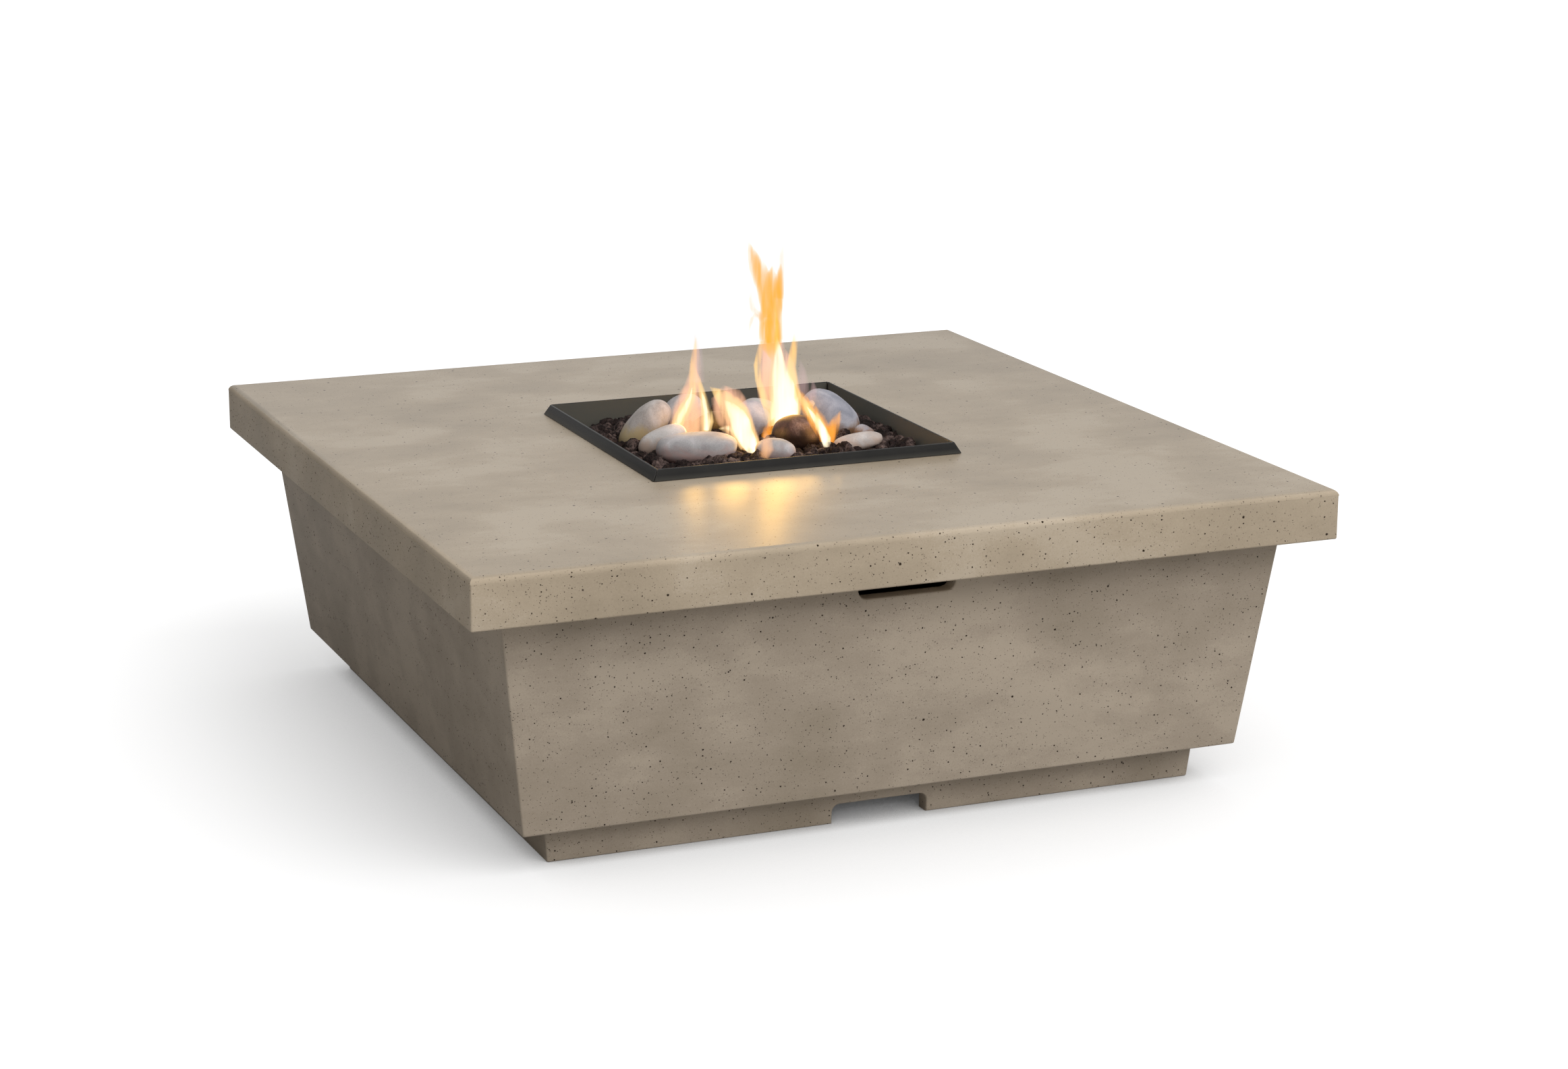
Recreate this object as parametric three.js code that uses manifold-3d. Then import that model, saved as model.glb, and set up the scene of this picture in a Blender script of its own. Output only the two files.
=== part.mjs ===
// Square concrete fire table with a drop-in steel burner tray, media grate, gas train and key valve.
// Millimetres, +Z up. Origin on the floor under the centre. -Y is the front, +X the side with the key valve.
import * as THREE from 'three';
import { mergeVertices } from 'three/addons/utils/BufferGeometryUtils.js';
import Module from 'manifold-3d';

const wasm = await Module();
wasm.setup();

// ---- driving dimensions ----
const inch = 25.4;
const degree = Math.PI / 180;
const gap = 0.3;                       // clearance between pieces that rest on or in each other
const cutExtra = 2;                    // how far a cutting shape runs past what it cuts

const slabWidth = 44 * inch;
const slabThickness = 2.5 * inch;
const slabEdgeRadius = 9;
const slabSkin = 25;                   // thickness between the solid border and the tray collar
const slabBorderWidth = 118;
const slabCollarWidth = 26;

const bodyHeight = 11 * inch;
const bodyTopWidth = 40 * inch;
const bodyBottomWidth = 948;
const wallThickness = 20;

const plinthHeight = 2 * inch;
const plinthTopWidth = 870.8;
const plinthBottomWidth = 861.4;

const ventWidth = 5 * inch;
const ventDepth = 27;                  // of the slots in the top edge of the body
const ventCornerRadius = 12;
const notchHeight = 25;                // of the notches in the bottom edge of the plinth
const notchCornerRadius = 10;

const trayInside = 403.8;              // clear width between the inner faces of the frame rails
const traySheet = 2;
const rimHeight = 14.4;                // top of the frame above the slab
const rimFootWidth = 422.8;            // across the outer feet of the sloping faces
const trayClearance = 1.6;             // between the rail legs and the slab cut-out
const railLegBottom = 330;
const mitreGap = 0.5;                  // from the diagonal to each rail end
const panBottom = 300;
const panTop = 345;
const panSheet = 1.5;

const burnerRadius = 122;
const burnerTubeRadius = 9.5;
const burnerHeight = 318;
const hubRadius = 15;
const nippleRadius = 10.6;

const grateSeat = 333;
const grateLength = 390;
const grateBarRadius = 3;
const grateBarCount = 13;
const grateRailWidth = 12;
const grateRailThickness = 4;

const bedBottom = 342.5;
const bedMiddleHeight = 393;
const bedWallDrop = 10;                // how much lower the heap is at the middle of a wall
const bedCornerDrop = 26;              // and how much lower again in a corner

const valveHeight = 200;               // of the key valve's centre on the outer face
const hoseRadius = 7;

// ---- heights that follow ----
const bodyTop = plinthHeight + bodyHeight;
const slabTop = bodyTop + slabThickness;
const rimTop = slabTop + rimHeight;
const ledgeTop = plinthHeight + wallThickness;
const wallSlope = (bodyTopWidth - bodyBottomWidth) / 2 / bodyHeight;
const wallLean = Math.atan(wallSlope);
const plinthInside = plinthBottomWidth / 2 - wallThickness;
const ledgeInside = plinthInside + 1;
const cutOut = trayInside / 2 + traySheet + trayClearance;

function outerHalfAt(height) {
  return bodyBottomWidth / 2 + (height - plinthHeight) * wallSlope;
}

function innerHalfAt(height) {
  return outerHalfAt(height) - wallThickness;
}

// ---- solids ----
function toSolid(geometry) {
  const plain = geometry.clone();
  plain.deleteAttribute('normal');
  plain.deleteAttribute('uv');
  const merged = mergeVertices(plain, 1e-3);
  const positions = merged.getAttribute('position');
  const index = merged.getIndex();
  const corners = [new THREE.Vector3(), new THREE.Vector3(), new THREE.Vector3()];
  const triangles = [];
  let volume = 0;
  for (let i = 0; i < index.count; i += 3) {
    const [a, b, c] = [index.getX(i), index.getX(i + 1), index.getX(i + 2)];
    if (a === b || b === c || c === a) continue;
    triangles.push(a, b, c);
    [a, b, c].forEach((vertex, k) => corners[k].fromBufferAttribute(positions, vertex));
    volume += corners[0].dot(corners[1].clone().cross(corners[2]));
  }
  if (volume < 0) triangles.reverse();
  return new wasm.Manifold(new wasm.Mesh({
    numProp: 3,
    vertProperties: new Float32Array(positions.array),
    triVerts: new Uint32Array(triangles),
  }));
}

function toGeometry(solid) {
  const mesh = solid.getMesh();
  const geometry = new THREE.BufferGeometry();
  geometry.setAttribute('position', new THREE.BufferAttribute(mesh.vertProperties, 3));
  geometry.setIndex(new THREE.BufferAttribute(mesh.triVerts, 1));
  geometry.computeVertexNormals();
  return geometry;
}

// A four-sided lathe: every [halfWidth, height] pair of the profile becomes a square.
function squareLathe(profile) {
  const points = profile.map(([half, height]) => new THREE.Vector2(half * Math.SQRT2, height));
  return toSolid(new THREE.LatheGeometry(points, 4, Math.PI / 4).rotateX(Math.PI / 2));
}

function turned(profile, sides, matrix) {
  const points = profile.map(([radius, height]) => new THREE.Vector2(radius, height));
  const geometry = new THREE.LatheGeometry(points, sides).rotateX(Math.PI / 2);
  if (matrix) geometry.applyMatrix4(matrix);
  return toSolid(geometry);
}

function rod(radius, low, high, sides, matrix) {
  return turned([[0, low], [radius, low], [radius, high], [0, high]], sides, matrix);
}

function tube(outer, inner, low, high, sides, matrix) {
  const profile = [[inner, low], [outer, low], [outer, high], [inner, high], [inner, low]];
  return turned(profile, sides, matrix);
}

function nut(outer, inner, low, high, matrix) {
  const hole = rod(inner, low - cutExtra, high + cutExtra, 16, matrix);
  return rod(outer, low, high, 6, matrix).subtract(hole);
}

function block(xRange, yRange, zRange) {
  const size = [xRange, yRange, zRange].map(([low, high]) => high - low);
  const centre = [xRange, yRange, zRange].map(([low, high]) => (low + high) / 2);
  return toSolid(new THREE.BoxGeometry(...size).translate(...centre));
}

// An outline in the XZ plane, pushed along Y from nearY to farY.
function pushedOutline(shape, nearY, farY) {
  const geometry = new THREE.ExtrudeGeometry(shape, {
    depth: farY - nearY, bevelEnabled: false, curveSegments: 5,
  });
  return toSolid(geometry.rotateX(Math.PI / 2).translate(0, farY, 0));
}

function placed(solid, matrix) {
  return toSolid(toGeometry(solid).applyMatrix4(matrix));
}

const alongX = new THREE.Matrix4().makeRotationY(Math.PI / 2);
const alongY = new THREE.Matrix4().makeRotationX(-Math.PI / 2);

function moved(x, y, z, turn) {
  const matrix = new THREE.Matrix4().makeTranslation(x, y, z);
  return turn ? matrix.multiply(turn) : matrix;
}

function quarterTurn(count) {
  return new THREE.Matrix4().makeRotationZ(count * Math.PI / 2);
}

// ---- materials ----
function material(colour, roughness, metalness = 0) {
  return new THREE.MeshStandardMaterial({ color: colour, roughness, metalness });
}

const concrete = material('#a1968a', 0.6);
const concreteTop = material('#b8aa96', 0.45);
const blackSteel = material('#343332', 0.5, 0.6);
const plainSteel = material('#6f6d6a', 0.45, 0.9);
const stainless = material('#9c9a96', 0.3, 1);
const zinc = material('#a8a9aa', 0.4, 1);
const brass = material('#b08d4c', 0.35, 1);
const chrome = material('#c9cacb', 0.12, 1);
const lava = material('#3d2d2b', 0.95);
const leverRed = material('#9c2a22', 0.5);

const model = new THREE.Group();

function add(name, solid, finish, parent = model) {
  const mesh = new THREE.Mesh(toGeometry(solid), finish.clone());
  mesh.name = name;
  parent.add(mesh);
}

// ---- concrete ----
// Outline of an open-ended notch: straight sides, with rounded corners at its closed end.
function roundedNotch(width, height, radius, cornerAtTop) {
  const half = width / 2;
  const shape = new THREE.Shape();
  shape.moveTo(-half, -cutExtra);
  shape.lineTo(half, -cutExtra);
  shape.lineTo(half, height - radius);
  shape.absarc(half - radius, height - radius, radius, 0, Math.PI / 2, false);
  shape.absarc(-half + radius, height - radius, radius, Math.PI / 2, Math.PI, false);
  if (cornerAtTop) return shape;
  return new THREE.Shape(shape.getPoints(5).map((point) => new THREE.Vector2(point.x, -point.y)));
}

function buildTableTop() {
  const half = slabWidth / 2;
  const under = bodyTop + gap;
  const recessTop = slabTop - slabSkin;
  const profile = [[cutOut, under], [cutOut + slabCollarWidth, under]];
  profile.push([cutOut + slabCollarWidth, recessTop], [half - slabBorderWidth, recessTop]);
  profile.push([half - slabBorderWidth, under], [half, under]);
  const arcSteps = 4;
  for (let i = 0; i <= arcSteps; i += 1) {
    const angle = (i / arcSteps) * Math.PI / 2;
    const inset = slabEdgeRadius * (1 - Math.cos(angle));
    profile.push([half - inset, slabTop - slabEdgeRadius * (1 - Math.sin(angle))]);
  }
  profile.push([cutOut, slabTop], [cutOut, under]);
  return squareLathe(profile);
}

function buildBody() {
  const shell = squareLathe([
    [ledgeInside, plinthHeight], [outerHalfAt(plinthHeight), plinthHeight],
    [outerHalfAt(bodyTop), bodyTop], [innerHalfAt(bodyTop), bodyTop],
    [innerHalfAt(ledgeTop), ledgeTop], [ledgeInside, ledgeTop], [ledgeInside, plinthHeight],
  ]);
  const reach = slabWidth / 2;
  const outline = roundedNotch(ventWidth, ventDepth, ventCornerRadius, false);
  const vents = pushedOutline(outline, -reach, reach);
  return shell.subtract(placed(vents, moved(0, 0, bodyTop)));
}

function buildPlinth() {
  const ring = squareLathe([
    [plinthInside, 0], [plinthBottomWidth / 2, 0], [plinthTopWidth / 2, plinthHeight - gap],
    [plinthInside, plinthHeight - gap], [plinthInside, 0],
  ]);
  const outline = roundedNotch(ventWidth, notchHeight, notchCornerRadius, true);
  return ring.subtract(pushedOutline(outline, -slabWidth / 2, slabWidth / 2));
}

// ---- cleats that tie the slab to the body: one on each wall, to the side of its middle ----
const cleatOffset = 260;
const cleatWidth = 60;
const cleatSheet = 4;
const cleatReach = 42;                 // of the leg under the slab
const cleatDrop = 46;                  // of the leg on the wall
const boltRadius = 4;
const boltHole = 4.4;
const boltHeadRadius = 7;
const boltHeadHeight = 5;
const boltLength = 18;

const cleatTop = bodyTop;
const topBoltInset = 24;               // of the slab bolt from the wall
const wallBoltDrop = 30;               // of the wall bolt below the slab

function cleatOutline() {
  const outer = (height) => innerHalfAt(height) - gap;
  const bottom = cleatTop - cleatDrop;
  const shape = new THREE.Shape();
  shape.moveTo(outer(bottom), bottom);
  shape.lineTo(outer(cleatTop), cleatTop);
  shape.lineTo(outer(cleatTop) - cleatReach, cleatTop);
  shape.lineTo(outer(cleatTop) - cleatReach, cleatTop - cleatSheet);
  shape.lineTo(outer(cleatTop - cleatSheet) - cleatSheet, cleatTop - cleatSheet);
  shape.lineTo(outer(bottom) - cleatSheet, bottom);
  return shape;
}

// The slab bolt points up, the wall bolt along the wall's normal; both start under their head.
const slabBoltAt = moved(innerHalfAt(bodyTop) - topBoltInset, cleatOffset, cleatTop - cleatSheet - gap);
const wallBoltTurn = new THREE.Matrix4().makeRotationY(Math.PI / 2 + wallLean);
const wallBoltHeight = bodyTop - wallBoltDrop;
const wallBoltStart = innerHalfAt(wallBoltHeight) - (cleatSheet + 2 * gap) / Math.cos(wallLean);
const wallBoltAt = moved(wallBoltStart, cleatOffset, wallBoltHeight, wallBoltTurn);

function buildBolt(matrix) {
  const head = rod(boltHeadRadius, -boltHeadHeight, 0, 6);
  return placed(head.add(rod(boltRadius, -boltHeadHeight / 2, boltLength, 8)), matrix);
}

function buildBoltHole(matrix) {
  return rod(boltHole, -cutExtra, boltLength + 2, 8, matrix);
}

let tableTop = buildTableTop();
let baseBody = buildBody();
const sideNames = ['right', 'back', 'left', 'front'];
const cleat = pushedOutline(cleatOutline(), cleatOffset - cleatWidth / 2, cleatOffset + cleatWidth / 2)
  .subtract(buildBoltHole(slabBoltAt))
  .subtract(buildBoltHole(wallBoltAt));

sideNames.forEach((side, turn) => {
  const spin = quarterTurn(turn);
  const topBolt = spin.clone().multiply(slabBoltAt);
  const wallBolt = spin.clone().multiply(wallBoltAt);
  tableTop = tableTop.subtract(buildBoltHole(topBolt));
  baseBody = baseBody.subtract(buildBoltHole(wallBolt));
  add(`cleat_${side}`, placed(cleat, spin), zinc);
  add(`cleat_${side}_slab_bolt`, buildBolt(topBolt), zinc);
  add(`cleat_${side}_wall_bolt`, buildBolt(wallBolt), zinc);
});

// ---- key valve, in a group whose Z axis leaves the right wall square to its face ----
const keyAxis = new THREE.Matrix4().makeRotationY(Math.PI / 2 + wallLean);
const valveFrame = moved(outerHalfAt(valveHeight), 0, valveHeight, keyAxis);
const wallHoleRadius = 12.6;
const neckRadius = 12;
const neckBore = 8;
const stemRadius = 7;
const squareSize = 8;
const socketSize = 8.8;
const shankRadius = 7;
const keyRodRadius = 4.5;
const valveCentre = -65;               // of the ports, behind the outer face
const valveBodyRadius = 18;
const portRadius = 9;
const portReach = 38;
const squareStart = -30;
const squareEnd = -12;
const keyHandleAt = 46;
const keyHandleLength = 60;
const keyHandleRadius = 4;

baseBody = baseBody.subtract(rod(wallHoleRadius, -wallThickness - 5, 5, 16, valveFrame));

function buildValveBody() {
  const core = turned([
    [0, valveCentre - 20], [valveBodyRadius, valveCentre - 20], [valveBodyRadius, valveCentre + 18],
    [neckRadius, valveCentre + 22], [neckRadius, 3], [0, 3],
  ], 16);
  const ports = rod(portRadius, -portReach, portReach, 12, moved(0, 0, valveCentre, alongX));
  const bore = rod(neckBore, valveCentre - 5, 3 + cutExtra, 16);
  return core.add(ports).subtract(bore);
}

function buildStem() {
  const half = squareSize / 2;
  const barrel = rod(stemRadius, valveCentre - 5 + gap, squareStart, 16);
  return barrel.add(block([-half, half], [-half, half], [squareStart - 1, squareEnd]));
}

function buildKey() {
  const shank = turned([
    [0, squareStart + 1], [shankRadius, squareStart + 1], [shankRadius, -8], [keyRodRadius, -4],
    [keyRodRadius, keyHandleAt], [0, keyHandleAt],
  ], 16);
  const handleHalf = keyHandleLength / 2;
  const handle = rod(keyHandleRadius, -handleHalf, handleHalf, 12, moved(0, 0, keyHandleAt, alongY));
  const half = socketSize / 2;
  const socket = block([-half, half], [-half, half], [squareStart - 5, squareEnd + 1]);
  return shank.add(handle).subtract(socket);
}

const valveGroup = new THREE.Group();
valveGroup.applyMatrix4(valveFrame);
model.add(valveGroup);
add('key_valve_body', buildValveBody(), brass, valveGroup);
add('key_valve_stem', buildStem(), brass, valveGroup);
add('valve_key', buildKey(), chrome, valveGroup);

const wallInside = -wallThickness * Math.cos(wallLean);
add('key_valve_locknut', nut(19, neckRadius + gap, wallInside - 7, wallInside - gap), brass, valveGroup);
const escutcheonProfile = [
  [neckRadius + gap, gap], [31, gap], [31, 2], [28, 4.2], [neckRadius + gap, 5.2],
  [neckRadius + gap, gap],
];
add('key_valve_escutcheon', turned(escutcheonProfile, 32), chrome, valveGroup);

// ---- screws that hold the inlet bracket down on the body's ledge ----
const screwRadius = 2.5;
const screwLength = 12;
const bracketScrews = [168, 186].map((y) => moved((ledgeInside + innerHalfAt(ledgeTop)) / 2, y, ledgeTop));

function buildScrewHole(at) {
  return rod(screwRadius + 0.4, -screwLength - 1, 8, 8, at);
}

bracketScrews.forEach((at) => {
  baseBody = baseBody.subtract(buildScrewHole(at));
});

add('table_top', tableTop, concreteTop);
add('base_body', baseBody, concrete);
add('base_plinth', buildPlinth(), concrete);

// ---- burner tray: four mitred rails welded round a folded pan ----
function railRing() {
  const inside = trayInside / 2;
  const outside = inside + traySheet;
  const foot = rimFootWidth / 2;
  const seat = slabTop + gap;
  const slopeRun = foot - outside;
  const slopeRise = rimTop - seat;
  const footWidth = traySheet * Math.hypot(slopeRun, slopeRise) / slopeRise;
  const throat = rimTop - slopeRise * footWidth / slopeRun;
  return squareLathe([
    [inside, railLegBottom], [outside, railLegBottom], [outside, throat], [foot - footWidth, seat],
    [foot, seat], [outside, rimTop], [inside, rimTop], [inside, railLegBottom],
  ]);
}

// The sector in front of the tray's centre, short of both diagonals by the mitre gap.
function frontSector() {
  const apex = mitreGap * Math.SQRT2;
  const reach = rimFootWidth;
  const shape = new THREE.Shape();
  shape.moveTo(0, -apex);
  shape.lineTo(-reach, -apex - reach);
  shape.lineTo(reach, -apex - reach);
  const geometry = new THREE.ExtrudeGeometry(shape, { depth: rimTop + cutExtra, bevelEnabled: false });
  return toSolid(geometry);
}

const ring = railRing();
const sector = frontSector();
['front', 'right', 'back', 'left'].forEach((side, turn) => {
  add(`frame_rail_${side}`, ring.intersect(placed(sector, quarterTurn(turn))), blackSteel);
});

function buildPan() {
  const half = trayInside / 2 - gap;
  const floor = panBottom + panSheet;
  let pan = squareLathe([
    [0, panBottom], [half, panBottom], [half, panTop], [half - panSheet, panTop],
    [half - panSheet, floor], [0, floor],
  ]);
  pan = pan.subtract(rod(nippleRadius + 0.5, panBottom - cutExtra, floor + cutExtra, 16));
  const airHoleRadius = 10;
  const airHoleAt = 165;
  for (const x of [-airHoleAt, airHoleAt]) {
    for (const y of [-airHoleAt, airHoleAt]) {
      const hole = rod(airHoleRadius, panBottom - cutExtra, floor + cutExtra, 12, moved(x, y, 0));
      pan = pan.subtract(hole);
    }
  }
  return pan;
}

add('tray_pan', buildPan(), blackSteel);

const supportLeg = 14;
const supportSheet = 2;
const supportOuter = trayInside / 2 - panSheet - 2 * gap;
const supportTop = grateSeat - gap;
for (const [name, side] of [['grate_support_left', -1], ['grate_support_right', 1]]) {
  const xs = (near, far) => (side > 0 ? [near, far] : [-far, -near]);
  const span = [-grateLength / 2, grateLength / 2];
  const leg = block(xs(supportOuter - supportSheet, supportOuter), span, [supportTop - supportLeg, supportTop]);
  const shelf = block(xs(supportOuter - supportLeg, supportOuter), span, [supportTop - supportSheet, supportTop]);
  add(name, leg.add(shelf), blackSteel);
}

// ---- media grate: two flats with round cross bars welded on ----
function buildGrate() {
  const half = grateLength / 2;
  const railTop = grateSeat + grateRailThickness;
  const barHeight = railTop + grateBarRadius - 1;
  let grate = block([-half, -half + grateRailWidth], [-half, half], [grateSeat, railTop])
    .add(block([half - grateRailWidth, half], [-half, half], [grateSeat, railTop]));
  const pitch = (grateLength - 4 * grateBarRadius) / (grateBarCount - 1);
  for (let i = 0; i < grateBarCount; i += 1) {
    const y = (i - (grateBarCount - 1) / 2) * pitch;
    grate = grate.add(rod(grateBarRadius, -half + 1, half - 1, 8, moved(0, y, barHeight, alongX)));
  }
  return grate;
}

add('media_grate', buildGrate(), plainSteel);

// ---- burner and what feeds it under the pan ----
function buildBurner() {
  const portCount = 24;
  const flamePortRadius = 1.5;
  const ringTube = new THREE.TorusGeometry(burnerRadius, burnerTubeRadius, 10, 40);
  let burner = toSolid(ringTube.translate(0, 0, burnerHeight));
  for (const direction of [alongX, alongY]) {
    const at = moved(0, 0, burnerHeight, direction);
    burner = burner.add(rod(burnerTubeRadius - 1, -burnerRadius, burnerRadius, 10, at));
  }
  burner = burner.add(rod(hubRadius, panBottom + panSheet + gap, burnerHeight + 12, 12));
  for (let i = 0; i < portCount; i += 1) {
    const angle = (i + 0.5) * 2 * Math.PI / portCount;
    const at = moved(burnerRadius * Math.cos(angle), burnerRadius * Math.sin(angle), burnerHeight);
    burner = burner.subtract(rod(flamePortRadius, burnerTubeRadius / 2, burnerTubeRadius + 1, 6, at));
  }
  return burner;
}

const nippleBottom = 262;
const mixerBottom = 222;
const orificeBottom = 198;
const mixerRadius = 14;
add('burner_ring', buildBurner(), stainless);
add('burner_nipple', tube(nippleRadius, 8, nippleBottom, panBottom + panSheet, 16), zinc);
add('burner_locknut', nut(18, nippleRadius + gap, panBottom - gap - 9, panBottom - gap), zinc);

function buildMixer() {
  const barrel = tube(mixerRadius, 9, mixerBottom, nippleBottom - gap, 16);
  const windowMiddle = (mixerBottom + nippleBottom) / 2;
  const airWindow = block([-mixerRadius * 2, mixerRadius * 2], [-4, 4], [windowMiddle - 8, windowMiddle + 8]);
  return barrel.subtract(airWindow);
}

function buildOrifice() {
  const hexTop = mixerBottom - gap;
  const body = rod(12, orificeBottom + 6, hexTop, 6).add(rod(8, orificeBottom, orificeBottom + 7, 12));
  return body.subtract(rod(1.2, hexTop - 6, hexTop + cutExtra, 6));
}

add('air_mixer', buildMixer(), zinc);
add('burner_orifice', buildOrifice(), brass);

// ---- shut-off valve on its bracket, at the right inside the base ----
const shutoffX = 405;
const shutoffZ = 102;
const shutoffNear = 92;                // hose end of the valve, along Y
const shutoffFar = 172;                // supply end
const shutoffStemY = 120;
const bonnetTop = 124;
const bracketSheet = 3;
const bracketNear = 150;
const bracketTop = 122;

function buildShutoffBody() {
  const pipe = rod(10, shutoffNear, shutoffFar, 12, moved(shutoffX, 0, shutoffZ, alongY));
  const housing = turned([
    [0, 102], [13, 102], [16, 108], [16, 132], [13, 138], [13, bracketNear - gap],
    [0, bracketNear - gap],
  ], 12, moved(shutoffX, 0, shutoffZ, alongY));
  const bonnet = rod(8, shutoffZ, bonnetTop, 12, moved(shutoffX, shutoffStemY, 0));
  const stemBore = rod(4.6, shutoffZ + 6, bonnetTop + cutExtra, 12, moved(shutoffX, shutoffStemY, 0));
  return pipe.add(housing).add(bonnet).subtract(stemBore);
}

function buildLever() {
  const at = moved(shutoffX, shutoffStemY, 0);
  const stem = rod(4, shutoffZ + 6 + gap, bonnetTop + 1, 12, at);
  const blade = block([shutoffX - 7, shutoffX + 7], [shutoffStemY - 78, shutoffStemY + 9],
    [bonnetTop + gap, bonnetTop + gap + 3]);
  return stem.add(blade);
}

function buildBracket() {
  const foot = block([ledgeInside + 1, innerHalfAt(ledgeTop) - 3], [bracketNear, bracketNear + 46],
    [ledgeTop + gap, ledgeTop + gap + bracketSheet]);
  const plate = block([shutoffX - 20, innerHalfAt(ledgeTop) - 3], [bracketNear, bracketNear + bracketSheet],
    [ledgeTop + gap, bracketTop]);
  const hole = rod(10.6, 0, bracketNear * 2, 16, moved(shutoffX, 0, shutoffZ, alongY));
  let bracket = foot.add(plate).subtract(hole);
  for (const at of bracketScrews) bracket = bracket.subtract(buildScrewHole(at));
  return bracket;
}

bracketScrews.forEach((at, i) => {
  const head = rod(4.8, bracketSheet + 2 * gap, bracketSheet + 2 * gap + 2.6, 12, at);
  add(`bracket_screw_${i + 1}`, head.add(rod(screwRadius, -screwLength, bracketSheet + 2, 8, at)), zinc);
});

add('inlet_bracket', buildBracket(), zinc);
add('shutoff_valve_body', buildShutoffBody(), brass);
add('shutoff_lever', buildLever(), leverRed);
const leverNutAt = moved(shutoffX, shutoffStemY, bonnetTop + 2 * gap + 3);
add('shutoff_lever_nut', rod(5.5, 0, 4, 6, leverNutAt), zinc);
const inletNutAt = moved(shutoffX, bracketNear + bracketSheet + gap, shutoffZ, alongY);
add('inlet_locknut', nut(16, 10 + gap, 0, 8, inletNutAt), brass);

// ---- hoses ----
function buildHose(points, steps) {
  const route = new THREE.CatmullRomCurve3(points.map((point) => new THREE.Vector3(...point)));
  const circle = new THREE.Shape();
  circle.absarc(0, 0, hoseRadius, 0, 2 * Math.PI, false);
  const section = new THREE.Shape(circle.getSpacedPoints(10).slice(0, 10));
  return toSolid(new THREE.ExtrudeGeometry(section, { steps, extrudePath: route, bevelEnabled: false }));
}

const valvePort = (reach) => new THREE.Vector3(-reach, 0, valveCentre).applyMatrix4(valveFrame).toArray();
const burnerHosePoints = [
  valvePort(portReach + gap), valvePort(portReach + 16), [420, 6, 283], [385, 16, 290], [335, 24, 262],
  [285, 26, 212], [225, 24, 164], [150, 18, 133], [70, 8, 122], [18, 2, 134], [0, 0, 166],
  [0, 0, orificeBottom - 14], [0, 0, orificeBottom - gap],
];
add('burner_hose', buildHose(burnerHosePoints, 56), stainless);
const supplyHosePoints = [
  [shutoffX, shutoffNear - gap, shutoffZ], [shutoffX, shutoffNear - 18, shutoffZ], [408, 48, 100],
  [414, 18, 104], [417, 2, 124], valvePort(-portReach - 14), valvePort(-portReach - gap),
];
add('supply_hose', buildHose(supplyHosePoints, 24), stainless);

// ---- loose media ----
// Each stone: centre, half length, half depth, half height, then the lean of its long axis and its yaw.
const stones = [
  { at: [-130, 39, 408], half: [42, 25, 22], lean: 46, yaw: -20, colour: '#b1aaa3' },
  { at: [-50, 108, 403], half: [28, 22, 25], lean: 30, yaw: -23, colour: '#a9a4a6' },
  { at: [-128, -20, 399], half: [33, 19, 13], lean: 26, yaw: -22, colour: '#aaa5a4' },
  { at: [-97, -84, 402], half: [54, 30, 20], lean: 3, yaw: -24, colour: '#b3adb0' },
  { at: [-28, 42, 401], half: [20, 18, 17], lean: 10, yaw: -10, colour: '#8a7048' },
  { at: [25, 36, 405], half: [28, 24, 25], lean: -38, yaw: -22, colour: '#9d9ba1' },
  { at: [60, 112, 401], half: [24, 20, 15], lean: 0, yaw: -30, colour: '#a9a7ab' },
  { at: [-8, -122, 400], half: [28, 20, 17], lean: -10, yaw: -20, colour: '#aeabac' },
  { at: [48, -63, 407], half: [31, 23, 22], lean: -2, yaw: -22, colour: '#6a5248' },
  { at: [122, 8, 411], half: [44, 30, 29], lean: -36, yaw: -23, colour: '#aca9b2' },
  { at: [114, -100, 395], half: [33, 20, 12], lean: 11, yaw: -24, colour: '#b6b1ae' },
  { at: [140, -48, 394], half: [21, 14, 13], lean: -30, yaw: -20, colour: '#9aa0ad' },
];

function buildStone({ at, half, lean, yaw }, grow) {
  const turn = new THREE.Quaternion()
    .setFromAxisAngle(new THREE.Vector3(0, 0, 1), yaw * degree)
    .multiply(new THREE.Quaternion().setFromAxisAngle(new THREE.Vector3(0, 1, 0), -lean * degree));
  const scale = new THREE.Vector3(...half).addScalar(grow);
  const matrix = new THREE.Matrix4().compose(new THREE.Vector3(...at), turn, scale);
  const sphere = new THREE.SphereGeometry(1, 14, 9).rotateX(Math.PI / 2);
  return toSolid(sphere.applyMatrix4(matrix));
}

function bedHeightAt(x, y) {
  const half = trayInside / 2;
  const [across, along] = [Math.abs(x) / half, Math.abs(y) / half];
  const wall = bedWallDrop * Math.max(across, along) ** 3;
  const corner = bedCornerDrop * (across * along) ** 2;
  return bedMiddleHeight - wall - corner + 1.2 * Math.sin(x / 23) * Math.cos(y / 19);
}

function buildBed() {
  const half = trayInside / 2 - panSheet - 4 * gap;
  const height = bedMiddleHeight - bedBottom;
  const middle = bedBottom + height / 2;
  const cells = 14;
  const box = new THREE.BoxGeometry(2 * half, 2 * half, height, cells, cells, 1);
  box.translate(0, 0, middle);
  const positions = box.getAttribute('position');
  for (let i = 0; i < positions.count; i += 1) {
    if (positions.getZ(i) > middle) {
      positions.setZ(i, bedHeightAt(positions.getX(i), positions.getY(i)));
    }
  }
  return stones.reduce((bed, stone) => bed.subtract(buildStone(stone, 2 * gap)), toSolid(box));
}

add('lava_rock_bed', buildBed(), lava);
stones.forEach((stone, i) => {
  const name = `river_stone_${String(i + 1).padStart(2, '0')}`;
  add(name, buildStone(stone, 0), material(stone.colour, 0.7));
});

export default model;
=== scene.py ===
import math
import random

import bmesh
import bpy
from mathutils import Euler, Matrix, Vector, noise


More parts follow.
